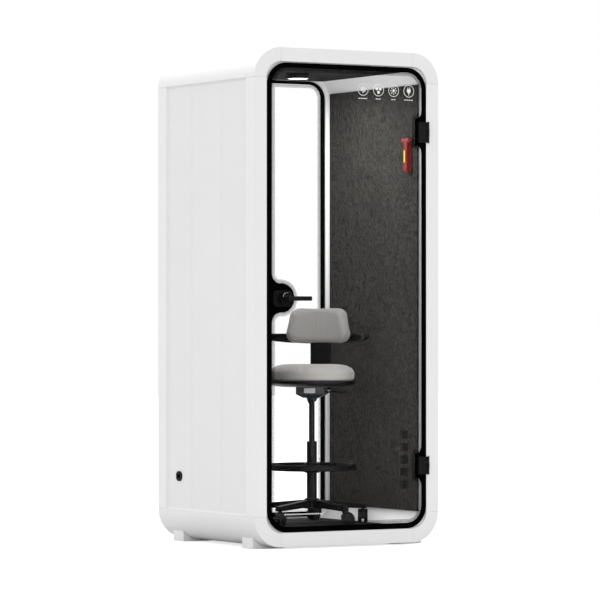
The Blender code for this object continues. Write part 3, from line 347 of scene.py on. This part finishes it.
def set_camera():
    data = bpy.data.cameras.new("camera")
    camera = bpy.data.objects.new("camera", data)
    bpy.context.collection.objects.link(camera)
    camera.location = CAMERA_PLACE
    camera.rotation_euler = (math.radians(90), 0, math.radians(CAMERA_TURN))
    data.lens = LENS
    data.sensor_width = 36
    data.shift_y = LENS_SHIFT
    data.clip_end = 100
    bpy.context.scene.camera = camera


def area_light(name, place, target, size, power, tall=None):
    data = bpy.data.lights.new(name, "AREA")
    data.size = size
    if tall:
        data.shape = "RECTANGLE"
        data.size_y = tall
    data.energy = power
    light = bpy.data.objects.new(name, data)
    light.visible_camera = False
    light.visible_transmission = False
    light.location = place
    aim = Vector(target) - Vector(place)
    light.rotation_euler = aim.to_track_quat("-Z", "Y").to_euler()
    bpy.context.collection.objects.link(light)


ROOM_LIGHT = 1.09
OVERHEAD_WATTS = 100
LAMP_WATTS = 11
DOORWAY_WATTS = 7.5


def seen_or_lighting(tree, seen, lighting):
    """One value where the studio is looked at, straight or through glass, another as light."""
    path = tree.nodes.new("ShaderNodeLightPath")
    looked_at = math_node(tree, "MAXIMUM", path.outputs["Is Camera Ray"],
                          path.outputs["Is Transmission Ray"])
    share = math_node(tree, "MULTIPLY", looked_at, seen - lighting)
    return math_node(tree, "ADD", share, lighting)


def set_stage():
    """A pale room that looks plain white, and lights the carrel a little less than it shows."""
    world = bpy.data.worlds.new("studio")
    world.use_nodes = True
    tree = world.node_tree
    tree.nodes["Background"].inputs["Color"].default_value = (1, 1, 1, 1)
    tree.links.new(seen_or_lighting(tree, 1.0, ROOM_LIGHT),
                   tree.nodes["Background"].inputs["Strength"])
    bpy.context.scene.world = world
    bpy.context.scene.view_settings.view_transform = "Standard"
    bpy.ops.mesh.primitive_plane_add(size=60, location=(0, 0, 0))
    floor = bpy.context.object
    floor.name = "studio_floor"
    material = bpy.data.materials.new("studio_floor")
    material.use_nodes = True
    tree = material.node_tree
    shader = tree.nodes["Principled BSDF"]
    shader.inputs["Base Color"].default_value = (0.66, 0.66, 0.66, 1)
    shader.inputs["Roughness"].default_value = 0.9
    shader.inputs["Emission Color"].default_value = (1, 1, 1, 1)
    tree.links.new(seen_or_lighting(tree, 0.7, 0.0), shader.inputs["Emission Strength"])
    floor.data.materials.append(material)
    area_light("overhead", (0, 0.3, 6.0), (0, 0, 0), 1.6, OVERHEAD_WATTS)
    lamp_low, lamp_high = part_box("light_diffuser")
    centre = [(a + b) / 2 for a, b in zip(lamp_low, lamp_high)]
    area_light("lamp_glow", (centre[0], centre[1], lamp_low[2] - 0.004),
               (centre[0], centre[1], 0), 0.08, LAMP_WATTS)
    area_light("doorway_fill", (0, FRONT + 0.035, 1.15), (0, REAR, 1.15), 0.7, DOORWAY_WATTS, 2.0)


# ---- modelling helpers ----------------------------------------------------------------
def activate(obj):
    bpy.ops.object.select_all(action="DESELECT")
    obj.select_set(True)
    bpy.context.view_layer.objects.active = obj


def apply_modifiers(obj):
    activate(obj)
    for modifier in list(obj.modifiers):
        bpy.ops.object.modifier_apply(modifier=modifier.name)


def settle(obj, angle=35):
    """Put the piece's place into its mesh and shade its round faces smooth, its flat ones flat."""
    apply_modifiers(obj)
    bpy.ops.object.transform_apply(location=True, rotation=True, scale=True)
    bpy.ops.object.shade_smooth_by_angle(angle=math.radians(angle))
    flatness = obj.modifiers.new("flatness", "WEIGHTED_NORMAL")
    flatness.weight = 100
    flatness.keep_sharp = True
    apply_modifiers(obj)


def soften(obj, width, segments=2, angle=30):
    """Round the piece's sharp edges."""
    bevel = obj.modifiers.new("edges", "BEVEL")
    bevel.width = width
    bevel.segments = segments
    bevel.limit_method = "ANGLE"
    bevel.angle_limit = math.radians(angle)
    bevel.use_clamp_overlap = True
    bevel.harden_normals = False


def dress(obj, body, slot_name, nodes=(), material=None):
    """Finish, body and CAD nodes of a piece."""
    obj.data.materials.clear()
    obj.data.materials.append(material or FINISH[slot_name])
    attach(obj, body)
    if nodes:
        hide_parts(*nodes)


SHARP_ANGLE = 30


def refined(node, width, segments):
    """A copy of a CAD node, merged, with its flat faces whole and its edges rounded."""
    source = frame["nodes"][node]
    piece = bpy.data.objects.new(node + "_skin", source.data.copy())
    bpy.context.collection.objects.link(piece)
    edit(piece)
    bpy.ops.mesh.select_all(action="SELECT")
    bpy.ops.mesh.remove_doubles(threshold=MERGE)
    bpy.ops.mesh.dissolve_limited(angle_limit=math.radians(1.0))
    leave()
    soften(piece, width, segments, SHARP_ANGLE)
    settle(piece, SHARP_ANGLE)
    dress(piece, NODE_BODY[node], NODE_SLOT[node], [node])


# ---- shell ----------------------------------------------------------------------------
EDGE = {"roof": 0.0015, "base": 0.0015, "foot_front_left": 0.002, "foot_front_right": 0.002,
        "foot_rear_left": 0.002, "foot_rear_right": 0.002, "side_panel_left": 0.0006,
        "side_panel_right": 0.0006, "felt_left": 0.0015, "felt_right": 0.0012,
        "door_glass": 0.0008, "rear_window": 0.0008, "arm_rest": 0.007, "back_plate": 0.003,
        "seat_pan": 0.003, "star_base": 0.004, "foot_ring": 0.004, "lift_lever": 0.003,
        "lock_case": 0.002, "lever_outside": 0.003, "lever_inside": 0.003, "hammer": 0.002,
        "seat_mechanism": 0.004}
PLAIN_EDGE = 0.0010
RECIPES = ("corner_top_left", "corner_top_right", "corner_bottom_left", "corner_bottom_right",
           "seat_cushion", "back_cushion")


def refine_hard_parts():
    for node in sorted(frame["nodes"]):
        if node not in RECIPES:
            refined(node, EDGE.get(node, PLAIN_EDGE), 3 if node in ("arm_rest", "star_base") else 2)


def edit(obj):
    """Enter edit mode on one piece with nothing of it selected."""
    activate(obj)
    bpy.ops.object.mode_set(mode="EDIT")
    bpy.ops.mesh.select_all(action="DESELECT")


def leave():
    bpy.ops.object.mode_set(mode="OBJECT")


def pick_faces(obj, test):
    """Select the faces whose centre and normal pass a test."""
    bm = bmesh.from_edit_mesh(obj.data)
    for face in bm.faces:
        face.select_set(bool(test(face.calc_center_median(), face.normal)))
    bmesh.update_edit_mesh(obj.data)


def join(pieces, name):
    """One piece made of several."""
    bpy.ops.object.select_all(action="DESELECT")
    for piece in pieces:
        piece.select_set(True)
    bpy.context.view_layer.objects.active = pieces[0]
    bpy.ops.object.join()
    pieces[0].name = name
    return pieces[0]


def block(name, low, high):
    """A box from corner to corner, ready to be shaped."""
    middle = [(a + b) / 2 for a, b in zip(low, high)]
    bpy.ops.mesh.primitive_cube_add(size=1, location=middle,
                                    scale=[b - a for a, b in zip(low, high)])
    piece = bpy.context.object
    piece.name = name
    bpy.ops.object.transform_apply(location=True, rotation=True, scale=True)
    return piece


def disc(name, centre, radius, tall, sides=48, turn=(0, 0, 0)):
    bpy.ops.mesh.primitive_cylinder_add(vertices=sides, radius=radius, depth=tall, location=centre,
                                        rotation=turn)
    piece = bpy.context.object
    piece.name = name
    bpy.ops.object.transform_apply(location=True, rotation=True, scale=True)
    return piece


def corner_moulding(node, side, level):
    """A quarter-round moulding: its end section swept round the corner."""
    low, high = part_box(node)
    depth = high[1] - low[1]
    centre = (low[0] if side > 0 else high[0], (low[1] + high[1]) / 2,
              low[2] if level > 0 else high[2])
    outer = high[0] - low[0]
    inner = outer - BORDER
    bpy.ops.mesh.primitive_plane_add(
        size=1, location=(centre[0] + side * (inner + outer) / 2, centre[1], centre[2]))
    piece = bpy.context.object
    piece.name = node + "_skin"
    piece.scale = (BORDER, depth, 1)
    bpy.ops.object.transform_apply(location=True, rotation=True, scale=True)
    edit(piece)
    bpy.ops.mesh.select_all(action="SELECT")
    bpy.ops.mesh.spin(steps=20, angle=math.radians(90) * side * level, center=centre,
                      axis=(0, 1, 0))
    bpy.ops.mesh.select_all(action="SELECT")
    bpy.ops.mesh.remove_doubles(threshold=MERGE)
    bpy.ops.mesh.normals_make_consistent(inside=False)
    leave()
    soften(piece, 0.0015, 2, 40)
    settle(piece, 40)
    dress(piece, "shell", NODE_SLOT[node], [node])


def make_corner_mouldings():
    for name, side, level in (("top_left", -1, 1), ("top_right", 1, 1),
                              ("bottom_left", -1, -1), ("bottom_right", 1, -1)):
        corner_moulding("corner_" + name, side, level)


def make_intake_mesh():
    """Dark mesh seen through the air intake slots, with its thin bars."""
    low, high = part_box("felt_right")
    wall = high[0]
    slot_low, slot_high = (FRONT + 0.142, BOTTOM + 0.238), (FRONT + 0.220, BOTTOM + 0.525)
    backing = block("intake_mesh", (wall + 0.002, slot_low[0], slot_low[1]),
                    (wall + 0.004, slot_high[0], slot_high[1]))
    bar = block("intake_mesh_bar", (wall + 0.001, slot_low[0], slot_low[1]),
                (wall + 0.0022, slot_low[0] + 0.0015, slot_high[1]))
    lines = bar.modifiers.new("bars", "ARRAY")
    lines.use_relative_offset = False
    lines.use_constant_offset = True
    lines.constant_offset_displace = (0, 0.006, 0)
    lines.count = 13
    apply_modifiers(bar)
    join([backing, bar], "intake_mesh")
    settle(backing)
    dress(backing, "shell", "black_plastic", material=GRILLE_DARK)


# ---- print on the glazing -------------------------------------------------------------
def arc(centre, radius, start, end, steps=12):
    angles = [math.radians(start + (end - start) * i / steps) for i in range(steps + 1)]
    return [(centre[0] + radius * math.cos(a), centre[1] + radius * math.sin(a)) for a in angles]


PRINT_ROUND = 0.106                           # corner radius of the print, at no inset
DOOR_BAND = 0.0285
WINDOW_BAND = 0.041
WINDOW_BAND_TOP = 0.032
DOT_BAND = 0.0165
DOT_PITCH = 0.0046
DOT_ZONE = 0.19                               # no dots further in than this
PRINT_THICK = 0.00012
WINDOW_PRINT_THICK = 0.0002
DOOR_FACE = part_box("door_glass")[0][1] - PRINT_THICK


def frame_line(inset, lobes=(), left_inset=None, top_inset=None):
    """The opening's outline drawn in by an inset, with lobes on its sides, anticlockwise."""
    left, right, low, high = OPENING
    left += inset if left_inset is None else left_inset
    high -= inset if top_inset is None else top_inset
    right, low = right - inset, low + inset
    radius = PRINT_ROUND - inset
    points = arc((right - radius, low + radius), radius, 270, 360)
    for lobe in lobes:
        if lobe["side"] > 0:
            points += lobe_line(lobe, right)
    points += arc((right - radius, high - radius), radius, 0, 90)
    points += arc((left + radius, high - radius), radius, 90, 180)
    for lobe in lobes:
        if lobe["side"] < 0:
            points += lobe_line(lobe, left)[::-1]
    points += arc((left + radius, low + radius), radius, 180, 270)
    return points


def lobe_line(lobe, edge):
    """A rounded bump of the band, from its low end to its high end."""
    side, reach = lobe["side"], lobe["reach"]
    hollow, bulge = lobe["hollow"], lobe["bulge"]
    middle, half = lobe["middle"], lobe["half"]
    lower = middle - half
    quarter = [(x, lower + (z - lower) * lobe["stretch"])
               for x, z in arc((edge - hollow, lower - hollow), hollow, 0, 90)]
    quarter += arc((edge - reach + bulge, lower + bulge), bulge, 270, 180)
    rising = [(x if side > 0 else 2 * edge - x, z) for x, z in quarter]
    falling = [(x, 2 * middle - z) for x, z in rising][::-1]
    return rising + falling


LOCK_LOW, LOCK_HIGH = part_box("lock_case")
LEAF_TOP_LOW, LEAF_TOP_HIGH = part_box("hinge_bracket_top")
LEAF_LOW_LOW, LEAF_LOW_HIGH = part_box("hinge_bracket_bottom")


def door_lobes():
    lock = {"side": -1, "reach": 0.1476 - DOOR_BAND, "hollow": 0.044, "bulge": 0.067,
            "stretch": 1.05, "middle": (LOCK_LOW[2] + LOCK_HIGH[2]) / 2 + 0.002, "half": 0.068}
    lobes = [lock]
    for low, high in ((LEAF_LOW_LOW[2], LEAF_LOW_HIGH[2]), (LEAF_TOP_LOW[2], LEAF_TOP_HIGH[2])):
        lobes.append({"side": 1, "reach": 0.0635 - DOOR_BAND, "hollow": 0.026, "bulge": 0.0086,
                      "stretch": 1.35, "middle": (low + high) / 2,
                      "half": (high - low) / 2 + 0.015})
    return lobes


def flat_piece(name, loops, depth, thickness):
    """A flat printed shape in the XZ plane at a depth, cut to loops of (x, z)."""
    curve = bpy.data.curves.new(name, "CURVE")
    curve.dimensions = "2D"
    curve.fill_mode = "BOTH"
    curve.extrude = thickness / 2
    for loop in loops:
        spline = curve.splines.new("POLY")
        spline.points.add(len(loop) - 1)
        for point, (x, z) in zip(spline.points, loop):
            point.co = (x, z, 0.0, 1.0)
        spline.use_cyclic_u = True
    piece = bpy.data.objects.new(name, curve)
    bpy.context.collection.objects.link(piece)
    activate(piece)
    bpy.ops.object.convert(target="MESH")
    piece = bpy.context.object
    piece.rotation_euler = (math.radians(90), 0, 0)
    piece.location = (0, depth, 0)
    bpy.ops.object.transform_apply(location=True, rotation=True, scale=True)
    edit(piece)
    bpy.ops.mesh.select_all(action="SELECT")
    bpy.ops.mesh.remove_doubles(threshold=0.00001)
    bpy.ops.mesh.normals_make_consistent(inside=False)
    leave()
    return piece


def distance_to(points, line):
    """Distance of each (x, z) point to a closed line, and whether it lies inside it."""
    first = np.array(line)
    second = np.roll(first, -1, axis=0)
    along = second - first
    length = np.maximum((along ** 2).sum(1), 1e-12)
    offset = points[:, None, :] - first[None]
    share = np.clip((offset * along[None]).sum(2) / length[None], 0, 1)
    gap = offset - share[..., None] * along[None]
    near = np.sqrt((gap ** 2).sum(2)).min(1)
    above_first = first[None, :, 1] > points[:, None, 1]
    above_second = second[None, :, 1] > points[:, None, 1]
    rise = np.where(np.abs(along[:, 1]) < 1e-9, 1e-9, along[:, 1])
    cross = first[None, :, 0] + (points[:, None, 1] - first[None, :, 1]) * along[None, :, 0] / rise
    hits = (above_first != above_second) & (points[:, None, 0] < cross)
    return near, hits.sum(1) % 2 == 1


def printed_dots(name, line, depth):
    """Dots that fade out inwards from a band's inner line."""
    left, right, low, high = OPENING
    row_step = DOT_PITCH * math.sqrt(3) / 2
    grid = []
    for row in range(int((high - low) / row_step) + 1):
        shift = DOT_PITCH / 2 * (row % 2)
        for column in range(int((right - left) / DOT_PITCH) + 1):
            grid.append((left + shift + column * DOT_PITCH, low + row * row_step))
    grid = np.array(grid)
    edge_x = np.minimum(grid[:, 0] - left, right - grid[:, 0])
    edge_z = np.minimum(grid[:, 1] - low, high - grid[:, 1])
    grid = grid[np.minimum(edge_x, edge_z) < DOT_ZONE]
    near, inside = distance_to(grid, line)
    keep = inside & (near < DOT_BAND)
    mesh = bpy.data.meshes.new(name)
    bm = bmesh.new()
    for (x, z), gap in zip(grid[keep], near[keep]):
        radius = DOT_PITCH * (0.47 - 0.12 * gap / DOT_BAND)
        corners = [bm.verts.new((x + radius * math.cos(a), depth, z + radius * math.sin(a)))
                   for a in (math.tau * i / 6 for i in range(6))]
        bm.faces.new(corners)
    bm.to_mesh(mesh)
    bm.free()
    piece = bpy.data.objects.new(name, mesh)
    bpy.context.collection.objects.link(piece)
    return piece


def make_print():
    edge = frame_line(0.0015, top_inset=0.0050)
    line = frame_line(DOOR_BAND, door_lobes())
    band = flat_piece("door_print_band", [edge, line], DOOR_FACE, PRINT_THICK)
    dress(band, "door", "glazing", material=PRINT_BLACK)
    dots = printed_dots("door_print_dots", line, DOOR_FACE)
    dress(dots, "door", "glazing", material=PRINT_BLACK)
    line = frame_line(WINDOW_BAND, top_inset=WINDOW_BAND_TOP)
    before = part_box("rear_window")[0][1] - WINDOW_PRINT_THICK
    band = flat_piece("window_print_band", [frame_line(0.0006), line], before, WINDOW_PRINT_THICK)
    dress(band, "shell", "glazing", material=PRINT_BLACK)
    dots = printed_dots("window_print_dots", line, before)
    dress(dots, "shell", "glazing", material=PRINT_BLACK)


# ---- signs on the door ----------------------------------------------------------------
SIGN_HEIGHT = BOTTOM + 2.118
SIGN_R = 0.0288
SIGN_LINE = 0.0024
SIGN_PLACES = (0.5848, 0.6696, 0.7529, 0.8366)
CAPTION_WIDTHS = (0.050, 0.030, 0.026, 0.050)


def circle(centre, radius, steps=32):
    return arc(centre, radius, 0, 360 - 360 / steps, steps - 1)


def bar_shape(start, end, width):
    """Outline of a straight stroke."""
    along = Vector(end) - Vector(start)
    side = Vector((-along.y, along.x)).normalized() * width / 2
    return [tuple(Vector(start) + side), tuple(Vector(start) - side),
            tuple(Vector(end) - side), tuple(Vector(end) + side)]


def turned_about(shape, centre, angle):
    c, s = math.cos(math.radians(angle)), math.sin(math.radians(angle))
    return [(centre[0] + (x - centre[0]) * c - (z - centre[1]) * s,
             centre[1] + (x - centre[0]) * s + (z - centre[1]) * c) for x, z in shape]


def sound_sign(c):
    """Three sound bars of different heights."""
    for offset, tall in ((-0.010, 0.008), (0.0, 0.016), (0.010, 0.011)):
        yield bar_shape((c[0] + offset, c[1] - tall), (c[0] + offset, c[1] + tall), 0.0055)


def air_sign(c):
    """Three round blades."""
    for angle in (30, 150, 270):
        yield turned_about(circle((c[0] + 0.0105, c[1]), 0.0072, 20), c, angle)


def light_sign(c):
    """A disc with eight short rays."""
    yield circle(c, 0.0065, 20)
    for angle in range(0, 360, 45):
        yield turned_about(bar_shape((c[0] + 0.0105, c[1]), (c[0] + 0.019, c[1]), 0.0035), c, angle)


def power_sign(c):
    """A plug: two pins, a body and a lead."""
    for offset in (-0.005, 0.005):
        yield bar_shape((c[0] + offset, c[1] + 0.009), (c[0] + offset, c[1] + 0.017), 0.0035)
    yield ([(c[0] - 0.010, c[1] + 0.0085), (c[0] - 0.010, c[1])]
           + arc((c[0], c[1]), 0.010, 200, 340, 10) + [(c[0] + 0.010, c[1]),
                                                     (c[0] + 0.010, c[1] + 0.0085)])
    yield bar_shape((c[0], c[1] - 0.0105), (c[0], c[1] - 0.020), 0.0035)


def make_signs():
    drawings = {"sound": sound_sign, "air": air_sign, "light": light_sign, "power": power_sign}
    for (name, drawing), place, caption in zip(drawings.items(), SIGN_PLACES, CAPTION_WIDTHS):
        centre = (LEFT + place, SIGN_HEIGHT)
        pieces = [flat_piece("sign_ring", [circle(centre, SIGN_R, 48),
                                           circle(centre, SIGN_R - SIGN_LINE, 48)],
                             DOOR_FACE, PRINT_THICK)]
        for shape in drawing(centre):
            pieces.append(flat_piece("sign_stroke", [shape], DOOR_FACE, PRINT_THICK))
        below = centre[1] - SIGN_R - 0.013
        dashes = max(2, round(caption / 0.012))
        step = caption / dashes
        for n in range(dashes):
            start = centre[0] - caption / 2 + n * step
            pieces.append(flat_piece("sign_caption",
                                     [bar_shape((start, below), (start + step * 0.74, below),
                                                0.0036)], DOOR_FACE, PRINT_THICK))
        sign = join(pieces, "sign_" + name)
        dress(sign, "door", "moulded_white", material=PRINT_WHITE)


def make_safety_dots():
    """A short row of small plain dots low on the door, so that the glass is noticed."""
    pieces = [flat_piece("safety_dot", [circle((LEFT + 0.165 + 0.0105 * i, BOTTOM + 0.150),
                                               0.0035, 12)], DOOR_FACE, PRINT_THICK)
              for i in range(20)]
    dress(join(pieces, "door_safety_dots"), "door", "moulded_white", material=PRINT_WHITE)


# ---- hammer label ---------------------------------------------------------------------
def make_hammer_label():
    low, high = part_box("hammer")
    middle = (low[1] + high[1]) / 2
    label = block("hammer_label", (low[0] - 0.0006, middle - 0.007, low[2] + 0.038),
                  (low[0] - 0.0001, middle + 0.007, low[2] + 0.095))
    soften(label, 0.0002, 1)
    settle(label)
    dress(label, "hammer", "hammer_red", material=LABEL_YELLOW)


# ---- fittings -------------------------------------------------------------------------
def make_rose_ring():
    """Bright ring round the foot of the outside lever."""
    low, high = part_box("lever_outside")
    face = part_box("lock_case")[0][1]
    spindle = low[0] + (high[2] - low[2]) / 2
    bpy.ops.mesh.primitive_torus_add(location=(spindle, face - 0.0007, (low[2] + high[2]) / 2),
                                     rotation=(math.radians(90), 0, 0), major_segments=48,
                                     minor_segments=8, major_radius=0.0185, minor_radius=0.0013)
    ring = bpy.context.object
    ring.name = "lever_rose_ring"
    settle(ring)
    dress(ring, "door", "bright_steel")


SEAT_FACING = math.radians(-41.0)             # the way the seat looks, from straight ahead


def make_mechanism_nose():
    """Cast nose on the front of the seat mechanism, light-coloured as a painted highlight, with the
    tension knob below it.
    """
    low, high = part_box("seat_mechanism")
    centre = [(a + b) / 2 for a, b in zip(low, high)]
    front = Vector((math.sin(SEAT_FACING), -math.cos(SEAT_FACING), 0))
    top = high[2]
    place = Vector((centre[0], centre[1], top - 0.017)) + front * 0.059
    bpy.ops.mesh.primitive_cube_add(size=1, location=place, rotation=(0, 0, SEAT_FACING),
                                    scale=(0.052, 0.014, 0.024))
    nose = bpy.context.object
    nose.name = "mechanism_nose"
    bpy.ops.object.transform_apply(location=True, rotation=True, scale=True)
    edit(nose)
    pick_faces(nose, lambda spot, normal: normal.dot(front) > 0.9)
    bpy.ops.mesh.inset(thickness=0.004, depth=0.004)
    leave()
    soften(nose, 0.0012, 2)
    settle(nose)
    dress(nose, "seat", "mechanism_alloy", material=NOSE_HIGHLIGHT_ALLOY)
    knob_place = Vector((centre[0], centre[1], low[2] + 0.006)) + front * 0.036
    knob = disc("tension_knob", knob_place, 0.013, 0.022, 20)
    edit(knob)
    pick_faces(knob, lambda spot, normal: normal.z < -0.9)
    bpy.ops.mesh.inset(thickness=0.003, depth=0.003)
    bpy.ops.mesh.inset(thickness=0.004, depth=-0.004)
    leave()
    soften(knob, 0.0008, 2)
    settle(knob)
    dress(knob, "seat", "black_plastic")


# ---- upholstery -----------------------------------------------------------------------
VOXEL = 0.005
PRESSURE = 4.0
CLOTH_STEPS = 20


def inflate(pad, cap):
    """Swell a closed pad like a filled cover; no point moves further than the cap."""
    activate(pad)
    remesh = pad.modifiers.new("even", "REMESH")
    remesh.mode = "VOXEL"
    remesh.voxel_size = VOXEL
    apply_modifiers(pad)
    count = len(pad.data.vertices)
    before = np.empty(count * 3)
    pad.data.vertices.foreach_get("co", before)
    cloth = pad.modifiers.new("cover", "CLOTH")
    cloth.settings.use_pressure = True
    cloth.settings.uniform_pressure_force = PRESSURE
    cloth.settings.effector_weights.gravity = 0.0
    cloth.settings.quality = 5
    cloth.settings.mass = 0.3
    cloth.settings.tension_stiffness = 15
    cloth.settings.bending_stiffness = 0.5
    cloth.collision_settings.use_collision = False
    cloth.point_cache.frame_start = 1
    cloth.point_cache.frame_end = CLOTH_STEPS
    for step in range(1, CLOTH_STEPS + 1):
        bpy.context.scene.frame_set(step)
    activate(pad)
    bpy.ops.object.modifier_apply(modifier=cloth.name)
    bpy.context.scene.frame_set(1)
    after = np.empty(count * 3)
    pad.data.vertices.foreach_get("co", after)
    move = (after - before).reshape(-1, 3)
    far = np.linalg.norm(move, axis=1)
    move *= np.minimum(1.0, cap / np.maximum(far, 1e-9))[:, None]
    pad.data.vertices.foreach_set("co", (before.reshape(-1, 3) + move).ravel())
    pad.data.update()
    smooth = pad.modifiers.new("ease", "SMOOTH")
    smooth.factor = 0.5
    smooth.iterations = 6
    apply_modifiers(pad)


def keep_inside(pad, low, high, proud):
    """Hold a pad within its room: flat where it rests, a little proud elsewhere."""
    for vertex in pad.data.vertices:
        for axis in range(3):
            limit_low = low[axis] - proud[axis][0]
            limit_high = high[axis] + proud[axis][1]
            vertex.co[axis] = min(max(vertex.co[axis], limit_low), limit_high)


def finish_pad(pad):
    fine = pad.modifiers.new("fine", "SUBSURF")
    fine.levels = 1
    fine.render_levels = 1
    apply_modifiers(pad)
    activate(pad)
    bpy.ops.object.shade_smooth()


def make_seat_cushion():
    """Round seat pad: domed, with a full edge that draws in over the pan."""
    low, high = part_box("seat_cushion")
    centre = [(a + b) / 2 for a, b in zip(low, high)]
    radius = (high[0] - low[0]) / 2 - 0.004
    tall = high[2] - low[2]
    pad = disc("seat_cushion_pad", (centre[0], centre[1], low[2] + tall * 0.31), radius,
               tall * 0.62, 64)
    edit(pad)
    pick_faces(pad, lambda place, normal: normal.z > 0.9)
    for thickness, rise in ((0.016, 0.15), (0.026, 0.13), (0.040, 0.08), (0.050, 0.03)):
        bpy.ops.mesh.inset(thickness=thickness, depth=0)
        bpy.ops.transform.translate(value=(0, 0, rise * tall))
    bpy.ops.mesh.select_all(action="DESELECT")
    pick_faces(pad, lambda place, normal: normal.z < -0.9)
    bpy.ops.mesh.inset(thickness=0.010, depth=0)
    leave()
    soften(pad, 0.010, 3, 50)
    apply_modifiers(pad)
    inflate(pad, 0.006)
    keep_inside(pad, low, high, ((0.002, 0.002), (0.002, 0.002), (0.0, 0.004)))
    finish_pad(pad)
    dress(pad, "seat", "seat_fabric", ["seat_cushion"])


def make_back_cushion():
    """Back pad that curves round the sitter, with soft full edges."""
    source = frame["nodes"]["back_cushion"]
    pad = bpy.data.objects.new("back_cushion_pad", source.data.copy())
    bpy.context.collection.objects.link(pad)
    edit(pad)
    bpy.ops.mesh.select_all(action="SELECT")
    bpy.ops.mesh.remove_doubles(threshold=MERGE)
    bpy.ops.mesh.normals_make_consistent(inside=False)
    bpy.ops.transform.shrink_fatten(value=-0.001)
    leave()
    rounder = pad.modifiers.new("round", "REMESH")
    rounder.mode = "VOXEL"
    rounder.voxel_size = 0.006
    smooth = pad.modifiers.new("ease", "SMOOTH")
    smooth.factor = 0.5
    smooth.iterations = 9
    apply_modifiers(pad)
    inflate(pad, 0.003)
    finish_pad(pad)
    dress(pad, "seat", "seat_fabric", ["back_cushion"])


# ---- build ----------------------------------------------------------------------------
set_camera()
set_stage()
make_corner_mouldings()
refine_hard_parts()
make_intake_mesh()
make_print()
make_signs()
make_safety_dots()
make_hammer_label()
make_rose_ring()
make_mechanism_nose()
make_seat_cushion()
make_back_cushion()
